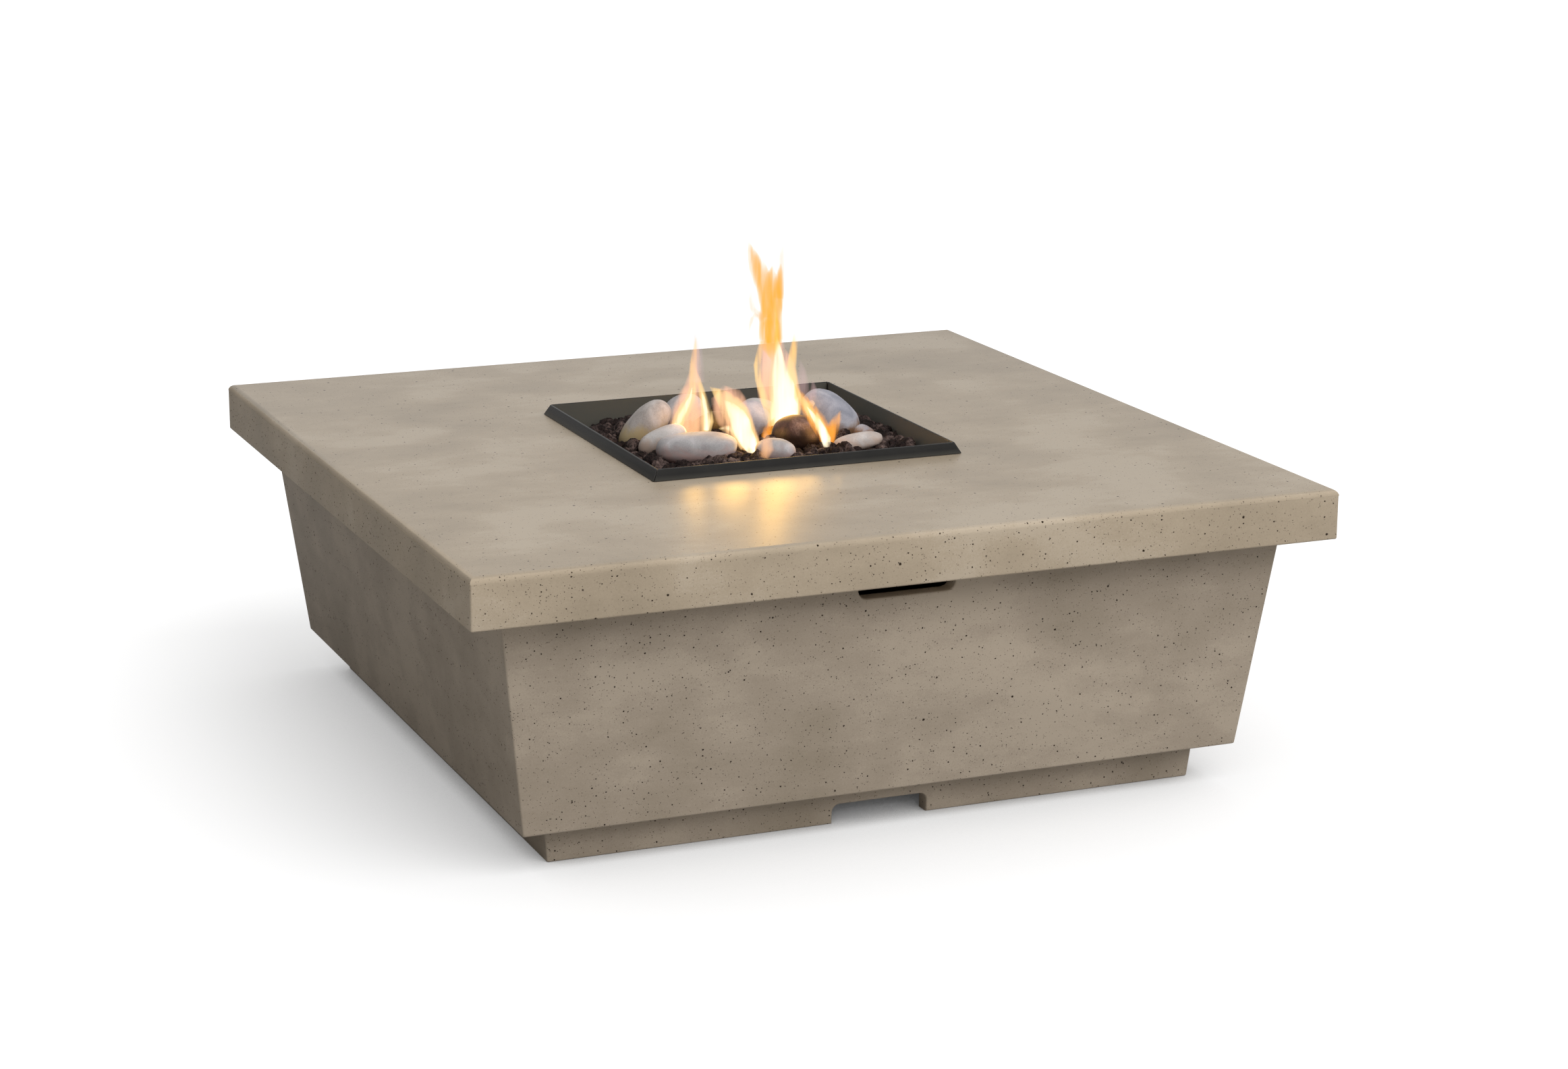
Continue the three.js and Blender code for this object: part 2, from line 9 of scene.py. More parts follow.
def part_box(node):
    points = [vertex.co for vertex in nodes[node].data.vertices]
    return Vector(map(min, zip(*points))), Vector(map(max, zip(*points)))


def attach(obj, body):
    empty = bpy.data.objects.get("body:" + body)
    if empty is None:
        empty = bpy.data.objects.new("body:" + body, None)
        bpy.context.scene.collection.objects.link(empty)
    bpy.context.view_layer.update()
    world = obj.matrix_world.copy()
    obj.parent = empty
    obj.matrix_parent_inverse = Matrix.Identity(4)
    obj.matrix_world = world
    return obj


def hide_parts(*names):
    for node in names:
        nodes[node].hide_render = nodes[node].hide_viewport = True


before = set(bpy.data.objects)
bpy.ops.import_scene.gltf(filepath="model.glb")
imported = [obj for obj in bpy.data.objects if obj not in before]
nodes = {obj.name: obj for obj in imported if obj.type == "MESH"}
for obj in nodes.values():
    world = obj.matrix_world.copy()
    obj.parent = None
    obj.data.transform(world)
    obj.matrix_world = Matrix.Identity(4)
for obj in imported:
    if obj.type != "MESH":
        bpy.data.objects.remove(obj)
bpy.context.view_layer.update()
scene = bpy.context.scene
mm = 0.001


def boxOf(name):
    low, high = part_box(name)
    return Vector(low), Vector(high)


def middleOf(name):
    low, high = boxOf(name)
    return (low + high) / 2


slabLow, slabHigh = boxOf("table_top")

# camera, floor and light
cameraSet = {
    "place": (-1.6336, -4.0200, 1.3749),   # metres
    "azimuth": -22.754,                    # degrees, 0 looks along +Y
    "elevation": 14.451,
    "roll": 0.219,
    "lens": 77.61,                         # mm
    "sensor": 36,
    "nearest": 0.05,                       # metres
    "furthest": 200,
}


def makeCamera():
    data = bpy.data.cameras.new("camera")
    data.lens = cameraSet["lens"]
    data.sensor_width = cameraSet["sensor"]
    data.clip_start = cameraSet["nearest"]
    data.clip_end = cameraSet["furthest"]
    camera = bpy.data.objects.new("camera", data)
    scene.collection.objects.link(camera)
    azimuth = math.radians(cameraSet["azimuth"])
    tilt = math.radians(90 - cameraSet["elevation"])
    turn = Matrix.Rotation(azimuth, 4, "Z") @ Matrix.Rotation(tilt, 4, "X")
    turn = turn @ Matrix.Rotation(math.radians(cameraSet["roll"]), 4, "Z")
    camera.matrix_world = Matrix.Translation(cameraSet["place"]) @ turn
    scene.camera = camera


makeCamera()
scene.view_settings.view_transform = "Standard"
scene.view_settings.look = "None"
print("camera set")


def srgb(code):
    channels = [int(code[i:i + 2], 16) / 255 for i in (1, 3, 5)]
    linear = [c / 12.92 if c <= 0.04045 else ((c + 0.055) / 1.055) ** 2.4 for c in channels]
    return (*linear, 1.0)


def addNode(tree, kind, settings=None, inputs=None):
    # settings are the node's own options; inputs are numbers, colours or sockets to link from
    node = tree.nodes.new(kind)
    for name, value in (settings or {}).items():
        setattr(node, name, value)
    for name, value in (inputs or {}).items():
        if isinstance(value, bpy.types.NodeSocket):
            tree.links.new(value, node.inputs[name])
        else:
            node.inputs[name].default_value = value
    return node


def newMaterial(name):
    material = bpy.data.materials.new(name)
    material.use_nodes = True
    material.node_tree.nodes.clear()
    return material, material.node_tree


def setStops(ramp, stops):
    # stops: (place, colour) pairs, in order
    elements = ramp.color_ramp.elements
    while len(elements) > len(stops):
        elements.remove(elements[-1])
    while len(elements) < len(stops):
        elements.new(1.0)
    for element, (place, colour) in zip(elements, stops):
        element.position = place
        element.color = colour
    return ramp


def grey(value):
    return (value, value, value, 1.0)


def finishMaterial(tree, shader, volume=None):
    output = addNode(tree, "ShaderNodeOutputMaterial")
    if shader is not None:
        tree.links.new(shader, output.inputs["Surface"])
    if volume is not None:
        tree.links.new(volume, output.inputs["Volume"])


lightSet = {
    "sunStrength": 1.9,
    "sunFrom": (0.32, -0.85, 0.95),        # the direction that the light comes from
    "sunAngle": 50,                        # degrees, wide for soft shadows
    "skyMiddle": 0.375,
    "skySlope": (0.28, -0.18, 0.26),       # the sky is brighter to the front, the right and above
    "sheenMiddle": 0.31,
    "sheenSlope": (-0.12, 0.10, 0.26),     # a far white wall, which only reflections show
    "floorHalf": 30,                       # metres, half the floor's side
    "floorTone": 0.43,
    "floorPatch": 0.6,                     # patches of tone, to the metre
    "floorLift": 0.74,                     # keeps the floor near white where the piece shades it
    "floorReach": 0.75,                    # metres, how far from the piece the painted shade on the floor reaches
    "floorGentle": 0.5,                    # below 1, the painted shade on the floor is lighter than the open sky over it
    "floorHidden": (0.03, 0.3),            # open sky under the hollow base, where the painted shade is full, and where it ends
}


def makeWorld():
    world = bpy.data.worlds.new("studio")
    scene.world = world
    world.use_nodes = True
    tree = world.node_tree
    tree.nodes.clear()
    way = addNode(tree, "ShaderNodeTexCoord").outputs["Generated"]
    seen = addNode(tree, "ShaderNodeLightPath")
    levels = []
    for kind in ("sky", "sheen"):
        slope = addNode(tree, "ShaderNodeVectorMath", {"operation": "DOT_PRODUCT"}, {
            0: way, 1: lightSet[kind + "Slope"]})
        levels.append(addNode(tree, "ShaderNodeMath", {"operation": "ADD"}, {
            0: slope.outputs["Value"], 1: lightSet[kind + "Middle"]}).outputs[0])
    level = addNode(tree, "ShaderNodeMix", inputs={
        "Factor": seen.outputs["Is Glossy Ray"], 2: levels[0], 3: levels[1]})
    lit = addNode(tree, "ShaderNodeBackground", inputs={"Color": grey(1), "Strength": level.outputs[0]})
    plain = addNode(tree, "ShaderNodeBackground", inputs={"Color": grey(1), "Strength": 1.0})
    both = addNode(tree, "ShaderNodeMixShader", inputs={
        0: seen.outputs["Is Camera Ray"], 1: lit.outputs[0], 2: plain.outputs[0]})
    output = addNode(tree, "ShaderNodeOutputWorld")
    tree.links.new(both.outputs[0], output.inputs["Surface"])


def makeLights():
    sunData = bpy.data.lights.new("softbox", "SUN")
    sunData.energy = lightSet["sunStrength"]
    sunData.angle = math.radians(lightSet["sunAngle"])
    sun = bpy.data.objects.new("softbox", sunData)
    scene.collection.objects.link(sun)
    sun.rotation_euler = Vector(lightSet["sunFrom"]).to_track_quat("Z", "Y").to_euler()
    sun.location = Vector(lightSet["sunFrom"]) * 3
    sun.visible_glossy = False             # the sky alone gives the soft sheen


def makeFloor():
    floorMesh = bmesh.new()
    bmesh.ops.create_grid(floorMesh, x_segments=1, y_segments=1, size=lightSet["floorHalf"])
    data = bpy.data.meshes.new("floor")
    floorMesh.to_mesh(data)
    floorMesh.free()
    floor = bpy.data.objects.new("floor", data)
    scene.collection.objects.link(floor)
    material, tree = newMaterial("white studio floor")
    coords = addNode(tree, "ShaderNodeTexCoord")
    tone = addNode(tree, "ShaderNodeTexNoise", inputs={
        "Vector": coords.outputs["Object"], "Scale": lightSet["floorPatch"], "Detail": 1.0})
    shade = addNode(tree, "ShaderNodeMapRange", inputs={
        "Value": tone.outputs["Fac"], "To Min": lightSet["floorTone"] * 0.98,
        "To Max": lightSet["floorTone"]})
    seen = addNode(tree, "ShaderNodeLightPath")
    # painted shade: the camera-only glow is dimmed by ambient occlusion, which paints a soft shadow round
    # and under the piece
    paintedShadeAO = addNode(tree, "ShaderNodeAmbientOcclusion", {"samples": 8}, {
        "Color": grey(1), "Distance": lightSet["floorReach"]})
    paintedShadeFalloff = addNode(tree, "ShaderNodeMath", {"operation": "POWER"}, {
        0: paintedShadeAO.outputs["AO"], 1: lightSet["floorGentle"]})
    inside = addNode(tree, "ShaderNodeMapRange", {"interpolation_type": "SMOOTHSTEP"}, {
        "Value": paintedShadeAO.outputs["AO"], "From Min": lightSet["floorHidden"][0],
        "From Max": lightSet["floorHidden"][1], "To Max": lightSet["floorLift"]})
    level = addNode(tree, "ShaderNodeMath", {"operation": "MULTIPLY"}, {
        0: paintedShadeFalloff.outputs[0], 1: inside.outputs["Result"]})
    lift = addNode(tree, "ShaderNodeMath", {"operation": "MULTIPLY"}, {
        0: seen.outputs["Is Camera Ray"], 1: level.outputs[0]})
    shader = addNode(tree, "ShaderNodeBsdfDiffuse", inputs={"Color": shade.outputs[0]})
    glow = addNode(tree, "ShaderNodeEmission", inputs={"Color": grey(1), "Strength": lift.outputs[0]})
    both = addNode(tree, "ShaderNodeAddShader", inputs={0: shader.outputs[0], 1: glow.outputs[0]})
    finishMaterial(tree, both.outputs[0])
    data.materials.append(material)


makeWorld()
makeLights()
makeFloor()
print("studio ready")

# concrete
concreteSet = {
    "cloud": 210 * mm,                     # patches of lighter and darker cement
    "streak": 60 * mm,
    "grain": 1.8 * mm,                     # sand, drawn a little coarse so that it shows
    "ragged": 1.5 * mm,                    # how far an air hole's rim wanders
    "raggedSize": 3 * mm,                  # and over what length
    "mostlySmall": 2.0,                    # above 1, most holes are near their least radius
    "flatBottom": 0.55,                    # share of a hole's radius that is fully dark with painted shade
    "holeShadeTone": "#4d453c",
}

# Air holes in three sizes: the pitch of the cells, the least and the most radius in mm, then the share
# of the cells with a hole on upright faces and on top.
poreLayers = (
    (17, 0.9, 2.2, 0.5, 0.5),
    (6, 0.45, 1.35, 0.85, 0.3),
    (3, 0.3, 0.65, 0.9, 0.5),
)


def addPores(tree, coords, facingUp):
    # one mask, 1 inside every hole
    wobble = addNode(tree, "ShaderNodeTexNoise", inputs={
        "Vector": coords, "Scale": 1 / concreteSet["raggedSize"], "Detail": 1.0})
    shift = addNode(tree, "ShaderNodeVectorMath", {"operation": "SCALE"}, {
        0: wobble.outputs["Color"], "Scale": concreteSet["ragged"]})
    bent = addNode(tree, "ShaderNodeVectorMath", {"operation": "ADD"}, {0: coords, 1: shift.outputs[0]})
    holes = None
    for pitch, least, most, upright, onTop in poreLayers:
        cells = addNode(tree, "ShaderNodeTexVoronoi", {"feature": "F1"}, {
            "Vector": bent.outputs[0], "Scale": 1 / (pitch * mm), "Randomness": 1.0})
        chance = addNode(tree, "ShaderNodeSeparateColor", inputs={"Color": cells.outputs["Color"]})
        without = addNode(tree, "ShaderNodeMapRange", inputs={
            "Value": facingUp, "To Min": 1 - upright, "To Max": 1 - onTop}).outputs[0]
        share = addNode(tree, "ShaderNodeMapRange", inputs={
            "Value": chance.outputs[0], "From Min": without, "From Max": 1.0})
        skewed = addNode(tree, "ShaderNodeMath", {"operation": "POWER"}, {
            0: share.outputs[0], 1: concreteSet["mostlySmall"]})
        radius = addNode(tree, "ShaderNodeMapRange", inputs={
            "Value": skewed.outputs[0], "To Min": least / pitch, "To Max": most / pitch})
        present = addNode(tree, "ShaderNodeMath", {"operation": "GREATER_THAN"}, {
            0: chance.outputs[0], 1: without})
        inner = addNode(tree, "ShaderNodeMath", {"operation": "MULTIPLY"}, {
            0: radius.outputs[0], 1: concreteSet["flatBottom"]})
        hole = addNode(tree, "ShaderNodeMapRange", {"interpolation_type": "SMOOTHSTEP"}, {
            "Value": cells.outputs["Distance"], "From Min": inner.outputs[0],
            "From Max": radius.outputs[0], "To Min": 1.0, "To Max": 0.0})
        hole = addNode(tree, "ShaderNodeMath", {"operation": "MULTIPLY"}, {
            0: hole.outputs["Result"], 1: present.outputs[0]}).outputs[0]
        if holes is not None:
            hole = addNode(tree, "ShaderNodeMath", {"operation": "MAXIMUM"}, {0: hole, 1: holes}).outputs[0]
        holes = hole
    return holes


def makeConcrete(name, dark, middle, light, roughness, coat):
    # Cement cast in a smooth mould: soft clouds of tone, fine sand, and air holes darkened with painted
    # shade.
    material, tree = newMaterial(name)
    coords = addNode(tree, "ShaderNodeTexCoord").outputs["Object"]
    normal = addNode(tree, "ShaderNodeNewGeometry").outputs["Normal"]
    split = addNode(tree, "ShaderNodeSeparateXYZ", inputs={"Vector": normal})
    facingUp = addNode(tree, "ShaderNodeMapRange", inputs={
        "Value": split.outputs["Z"], "From Min": 0.6, "From Max": 0.95}).outputs["Result"]
    cloud = addNode(tree, "ShaderNodeTexNoise", inputs={
        "Vector": coords, "Scale": 1 / concreteSet["cloud"], "Detail": 4.0, "Roughness": 0.5,
        "Distortion": 0.3})
    stretched = addNode(tree, "ShaderNodeMapping", inputs={"Vector": coords, "Scale": (0.5, 1.0, 1.3)})
    streak = addNode(tree, "ShaderNodeTexNoise", inputs={
        "Vector": stretched.outputs["Vector"], "Scale": 1 / concreteSet["streak"], "Detail": 5.0,
        "Roughness": 0.6})
    grain = addNode(tree, "ShaderNodeTexNoise", inputs={
        "Vector": coords, "Scale": 1 / concreteSet["grain"], "Detail": 2.0, "Roughness": 0.7})
    blend = addNode(tree, "ShaderNodeMath", {"operation": "MULTIPLY_ADD"}, {
        0: streak.outputs["Fac"], 1: 0.5, 2: cloud.outputs["Fac"]})
    sandy = addNode(tree, "ShaderNodeMath", {"operation": "MULTIPLY_ADD"}, {
        0: grain.outputs["Fac"], 1: 0.3, 2: blend.outputs[0]})
    tone = setStops(addNode(tree, "ShaderNodeValToRGB", inputs={"Fac": sandy.outputs[0]}),
                    [(0.62, srgb(dark)), (0.90, srgb(middle)), (1.0, srgb(light))])
    holes = addPores(tree, coords, facingUp)
    # painted shade: the colour is darkened inside every air hole, as if shadowed
    paintedHoleShade = addNode(tree, "ShaderNodeMix", {"data_type": "RGBA", "blend_type": "MULTIPLY"}, {
        "Factor": holes, 6: tone.outputs["Color"], 7: srgb(concreteSet["holeShadeTone"])})
    gloss = addNode(tree, "ShaderNodeMapRange", inputs={
        "Value": cloud.outputs["Fac"], "From Min": 0.3, "From Max": 0.7,
        "To Min": roughness - 0.05, "To Max": roughness + 0.06})
    rough = addNode(tree, "ShaderNodeMath", {"operation": "MAXIMUM"}, {0: gloss.outputs[0], 1: holes})
    fine = addNode(tree, "ShaderNodeBump", inputs={
        "Height": grain.outputs["Fac"], "Strength": 0.12, "Distance": 0.4 * mm})
    deep = addNode(tree, "ShaderNodeBump", {"invert": True}, {
        "Height": holes, "Strength": 0.8, "Distance": 1.2 * mm, "Normal": fine.outputs[0]})
    sealed = addNode(tree, "ShaderNodeMath", {"operation": "MULTIPLY"}, {0: facingUp, 1: coat})
    shader = addNode(tree, "ShaderNodeBsdfPrincipled", inputs={
        "Base Color": paintedHoleShade.outputs[2], "Roughness": rough.outputs[0], "Normal": deep.outputs[0],
        "IOR": 1.5, "Specular IOR Level": 0.3, "Coat Weight": sealed.outputs[0],
        "Coat Roughness": 0.27})
    finishMaterial(tree, shader.outputs[0])
    return material


slabConcrete = makeConcrete("sealed cast concrete", "#a3947f", "#b3a38d", "#bcad98", 0.55, 0.9)
baseConcrete = makeConcrete("cast concrete", "#998c7a", "#aa9c8b", "#b4a694", 0.62, 0.1)


def addPiece(name, mesh, material, body, *replaced):
    data = bpy.data.meshes.new(name)
    mesh.to_mesh(data)
    mesh.free()
    piece = bpy.data.objects.new(name, data)
    scene.collection.objects.link(piece)
    data.materials.append(material)
    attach(piece, body)
    if replaced:
        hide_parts(*replaced)
    return piece


def smoothByAngle(piece, degrees):
    # shading only: smooth faces, with edges sharper than this kept crisp
    data = piece.data
    limit = math.radians(degrees)
    mesh = bmesh.new()
    mesh.from_mesh(data)
    for face in mesh.faces:
        face.smooth = True
    for edge in mesh.edges:
        edge.smooth = len(edge.link_faces) == 2 and edge.calc_face_angle(0) < limit
    mesh.to_mesh(data)
    mesh.free()


def mergedCopy(name):
    # a CAD node's mesh with its loose triangles joined into whole flat faces
    mesh = bmesh.new()
    mesh.from_mesh(nodes[name].data)
    bmesh.ops.remove_doubles(mesh, verts=mesh.verts, dist=0.01 * mm)
    bmesh.ops.dissolve_limit(mesh, angle_limit=math.radians(1), verts=mesh.verts, edges=mesh.edges)
    return mesh


def bevelEdges(mesh, edges, width, segments):
    made = bmesh.ops.bevel(mesh, geom=edges, offset=width, offset_type="OFFSET", segments=segments,
                           profile=0.5, affect="EDGES", clamp_overlap=True, material=-1)
    return made["faces"]


slabSet = {
    "topRound": 9 * mm,
    "cornerRound": 5 * mm,
    "bottomRound": 2.5 * mm,
    "border": 118 * mm,
    "collar": 26 * mm,
    "skin": 25 * mm,
    "cutOut": 205.5 * mm,                  # half the clear width for the tray
    "near": 1 * mm,                        # how close counts as on a face
}


def makeSlab():
    mesh = bmesh.new()
    size = slabHigh - slabLow
    half = size.x / 2
    at = Matrix.Translation((slabLow + slabHigh) / 2) @ Matrix.Diagonal((*size, 1))
    bmesh.ops.create_cube(mesh, size=1, matrix=at)
    top = max(mesh.faces, key=lambda face: face.calc_center_median().z)
    bottom = min(mesh.faces, key=lambda face: face.calc_center_median().z)
    bmesh.ops.inset_region(mesh, faces=[top], thickness=half - slabSet["cutOut"], use_even_offset=True)
    bmesh.ops.inset_region(mesh, faces=[bottom], thickness=slabSet["border"], use_even_offset=True)
    reach = half - slabSet["border"] - slabSet["cutOut"] - slabSet["collar"]
    recess = bmesh.ops.inset_region(mesh, faces=[bottom], thickness=reach, use_even_offset=True)["faces"]
    bmesh.ops.inset_region(mesh, faces=[bottom], thickness=slabSet["collar"], use_even_offset=True)
    raised = bmesh.ops.extrude_face_region(mesh, geom=recess)
    bmesh.ops.delete(mesh, geom=recess, context="FACES")
    lifted = [part for part in raised["geom"] if isinstance(part, bmesh.types.BMVert)]
    bmesh.ops.translate(mesh, verts=lifted, vec=(0, 0, size.z - slabSet["skin"]))
    rims = [edge for face in (top, bottom) for edge in face.edges]
    bmesh.ops.delete(mesh, geom=[top, bottom], context="FACES_ONLY")
    bmesh.ops.bridge_loops(mesh, edges=rims)

    def outside(edge, low, high):
        ends = [vert.co for vert in edge.verts]
        return all(max(abs(p.x), abs(p.y)) > half - near and low <= p.z <= high for p in ends)

    near = slabSet["near"]
    topEdges = [e for e in mesh.edges if outside(e, slabHigh.z - near, slabHigh.z + near)]
    bevelEdges(mesh, topEdges, slabSet["topRound"], 8)
    uprights = [e for e in mesh.edges if outside(e, slabLow.z - near, slabHigh.z - slabSet["topRound"] / 2)
                and abs(e.verts[0].co.z - e.verts[1].co.z) > size.z / 2]
    lowEdges = [e for e in mesh.edges if outside(e, slabLow.z - near, slabLow.z + near)]
    bevelEdges(mesh, uprights + lowEdges, slabSet["bottomRound"], 4)
    bmesh.ops.recalc_face_normals(mesh, faces=mesh.faces)
    piece = addPiece("concreteSlab", mesh, slabConcrete, "base", "table_top")
    smoothByAngle(piece, 40)


baseSet = {
    "base_body": {"foot": 474 * mm, "round": 2.4 * mm},      # half width at the foot, edge radius
    "base_plinth": {"foot": 430.7 * mm, "round": 2.0 * mm},
    "near": 0.6 * mm,                      # how close counts as on the outer face
    "sharp": 35,                           # degrees, edges flatter than this stay as they are
    "valveHole": 30 * mm,                  # half width of the space round the key valve's hole
}


def onOuterFace(point, name):
    low, high = boxOf(name)
    wide = (high.x - low.x) / 2
    narrow = baseSet[name]["foot"]
    share = (point.z - low.z) / (high.z - low.z)
    return max(abs(point.x), abs(point.y)) > narrow + (wide - narrow) * share - baseSet["near"]


def makeBasePart(name, pieceName):
    mesh = mergedCopy(name)
    low, high = boxOf(name)
    chosen = []
    for edge in mesh.edges:
        ends = [vert.co for vert in edge.verts]
        if edge.calc_face_angle(0) < math.radians(baseSet["sharp"]):
            continue
        if not all(onOuterFace(p, name) for p in ends):
            continue
        if all(abs(p.y) < baseSet["valveHole"] and p.x > high.x * 0.8 for p in ends):
            continue                       # the key valve's hole, under its cover plate
        if all(p.z > high.z - baseSet["near"] for p in ends):
            continue                       # hidden under the piece above
        chosen.append(edge)
    bevelEdges(mesh, chosen, baseSet[name]["round"], 3)
    piece = addPiece(pieceName, mesh, baseConcrete, "base", name)
    smoothByAngle(piece, 40)


makeSlab()
makeBasePart("base_body", "concreteBody")
makeBasePart("base_plinth", "concretePlinth")
print("concrete cast")

# metals and paint


def makeMetal(name, colour, worn, roughness, metallic, grainSize, bumpStrength, stretch=(1, 1, 1),
              sheen=0.5, upright=None):
    # tone and gloss vary with a fine grain, so that no face is one flat colour
    material, tree = newMaterial(name)
    coords = addNode(tree, "ShaderNodeTexCoord").outputs["Object"]
    mapped = addNode(tree, "ShaderNodeMapping", inputs={"Vector": coords, "Scale": stretch})
    grain = addNode(tree, "ShaderNodeTexNoise", inputs={
        "Vector": mapped.outputs[0], "Scale": 1 / grainSize, "Detail": 3.0, "Roughness": 0.65})
    stain = addNode(tree, "ShaderNodeTexNoise", inputs={
        "Vector": coords, "Scale": 1 / (35 * mm), "Detail": 4.0, "Roughness": 0.6})
    mask = addNode(tree, "ShaderNodeMath", {"operation": "MULTIPLY"}, {
        0: stain.outputs["Fac"], 1: grain.outputs["Fac"]})
    tone = setStops(addNode(tree, "ShaderNodeValToRGB", inputs={"Fac": mask.outputs[0]}),
                    [(0.12, srgb(colour)), (0.42, srgb(worn))])
    gloss = addNode(tree, "ShaderNodeMapRange", inputs={
        "Value": grain.outputs["Fac"], "From Min": 0.3, "From Max": 0.7,
        "To Min": roughness * 0.85, "To Max": roughness * 1.2})
    bump = addNode(tree, "ShaderNodeBump", inputs={
        "Height": grain.outputs["Fac"], "Strength": bumpStrength, "Distance": 0.15 * mm})
    surface = tone.outputs["Color"]
    if upright:
        # painted light: the upright faces are painted paler, as if more brightly lit
        normal = addNode(tree, "ShaderNodeNewGeometry").outputs["Normal"]
        split = addNode(tree, "ShaderNodeSeparateXYZ", inputs={"Vector": normal})
        paintedLightOnUpright = addNode(tree, "ShaderNodeMapRange", inputs={
            "Value": split.outputs["Z"], "From Min": 0.45, "From Max": 0.05})
        surface = addNode(tree, "ShaderNodeMix", {"data_type": "RGBA"}, {
            "Factor": paintedLightOnUpright.outputs["Result"], 6: surface, 7: srgb(upright)}).outputs[2]
    shader = addNode(tree, "ShaderNodeBsdfPrincipled", inputs={
        "Base Color": surface, "Metallic": metallic, "Roughness": gloss.outputs[0],
        "Normal": bump.outputs[0], "Specular IOR Level": sheen})
    finishMaterial(tree, shader.outputs[0])
    return material


# satin orange peel, dull enough to stay dark under the sky
# its upright faces are painted paler as painted light
powderCoat = makeMetal("black powder coat", "#21201f", "#292826", 0.45, 0.0, 0.9 * mm, 0.3, sheen=0.25,
                       upright="#55534c")
# the side that the fire leans to, its upright faces painted paler still as painted fire light
fireLitCoat = makeMetal("powder coat with painted fire light", "#21201f", "#292826", 0.45, 0.0, 0.9 * mm, 0.3,
                         sheen=0.25, upright="#77756d")
# edges rubbed smooth and glossy, which catch a thin line of light; their paler colour is a painted
# highlight
rubbedEdgeHighlightCoat = makeMetal("rubbed powder coat edge with painted highlight", "#262524", "#3a3836", 0.24, 0.0, 3 * mm, 0.1)
darkSteel = makeMetal("heat-darkened mild steel", "#3f3a36", "#6a625b", 0.5, 1.0, 1.5 * mm, 0.3)
stainless = makeMetal("brushed stainless steel", "#8f8c87", "#b0ada8", 0.32, 1.0, 0.8 * mm, 0.2, (1, 1, 8))
zincPlate = makeMetal("zinc-plated steel", "#8c8e90", "#b4b6b6", 0.38, 1.0, 2.5 * mm, 0.15)  # faint spangle
brassMetal = makeMetal("machined brass", "#a8843f", "#c9a861", 0.3, 1.0, 0.7 * mm, 0.15, (1, 1, 6))
chromePlate = makeMetal("polished chrome plate", "#c3c5c7", "#d6d8da", 0.08, 1.0, 6 * mm, 0.02)
redVinyl = makeMetal("dipped red vinyl", "#7e1f18", "#a2332a", 0.45, 0.0, 1.2 * mm, 0.15)

finishes = {
    "grate_support": powderCoat, "tray_pan": powderCoat, "media_grate": darkSteel,
    "burner_ring": stainless, "burner_hose": stainless, "supply_hose": stainless,
    "cleat": zincPlate, "burner_nipple": zincPlate, "burner_locknut": zincPlate, "air_mixer": zincPlate,
    "inlet_bracket": zincPlate, "bracket_screw": zincPlate, "shutoff_lever_nut": zincPlate,
    "key_valve": brassMetal, "burner_orifice": brassMetal, "shutoff_valve_body": brassMetal,
    "inlet_locknut": brassMetal, "shutoff_lever": redVinyl, "valve_key": chromePlate,
    "key_valve_escutcheon": chromePlate,
}


def dressNode(name):
    matches = [start for start in finishes if name.startswith(start)]
    if not matches:
        return
    data = nodes[name].data
    data.materials.clear()
    data.materials.append(finishes[max(matches, key=len)])


for nodeName in nodes:
    dressNode(nodeName)

railSet = {
    "edge": 0.9 * mm,
    "segments": 3,
    "paint": {"front": powderCoat, "right": fireLitCoat, "back": powderCoat, "left": powderCoat},
}


def makeRail(side):
    name = "frame_rail_" + side
    mesh = mergedCopy(name)
    sharp = [edge for edge in mesh.edges if edge.calc_face_angle(0) > math.radians(20)]
    # the bevelled edges take the rubbed finish, with its painted highlight
    for face in bevelEdges(mesh, sharp, railSet["edge"], railSet["segments"]):
        face.material_index = 1
    piece = addPiece("trayRail" + side.capitalize(), mesh, railSet["paint"][side], "burner_tray", name)
    piece.data.materials.append(rubbedEdgeHighlightCoat)
    smoothByAngle(piece, 50)


for side in ("front", "right", "back", "left"):
    makeRail(side)
print("metalwork dressed")

# lava rock
bedSet = {
    "half": 199.2 * mm,
    "middle": 393 * mm,
    "wallDrop": 10 * mm,
    "cornerDrop": 26 * mm,
    # hollows in front of the large stones: across X, along Y, reach and depth in mm
    "hollows": ((12, -6, 46, 13), (42, -92, 32, 8), (105, -42, 42, 11)),
    "pitch": 15.5 * mm,                    # between the rocks of the top layer
    "small": 6.5 * mm,                     # radius of the smallest rock
    "large": 13 * mm,
    "seed": 7,
    "cells": 48,                           # of the ground between the rocks, along each side
    "groundDrop": 4 * mm,
    "groundBump": 3 * mm,
    "groundPitch": 9 * mm,
    "lifts": ((-8 * mm, -3 * mm), (-3 * mm, 2 * mm)),   # least and most, lower layer then upper
    "jitter": 0.45,                        # of the pitch
    "mostlySmall": 1.7,
}


def bedHeight(x, y):
    across, along = abs(x) / bedSet["half"], abs(y) / bedSet["half"]
    wall = bedSet["wallDrop"] * max(across, along) ** 3
    corner = bedSet["cornerDrop"] * (across * along) ** 2
    hollow = 0
    for middleX, middleY, reach, depth in bedSet["hollows"]:
        far = math.hypot(x - middleX * mm, y - middleY * mm) / (reach * mm)
        hollow += depth * mm * max(0, 1 - far ** 2) ** 2
    return bedSet["middle"] - wall - corner - hollow


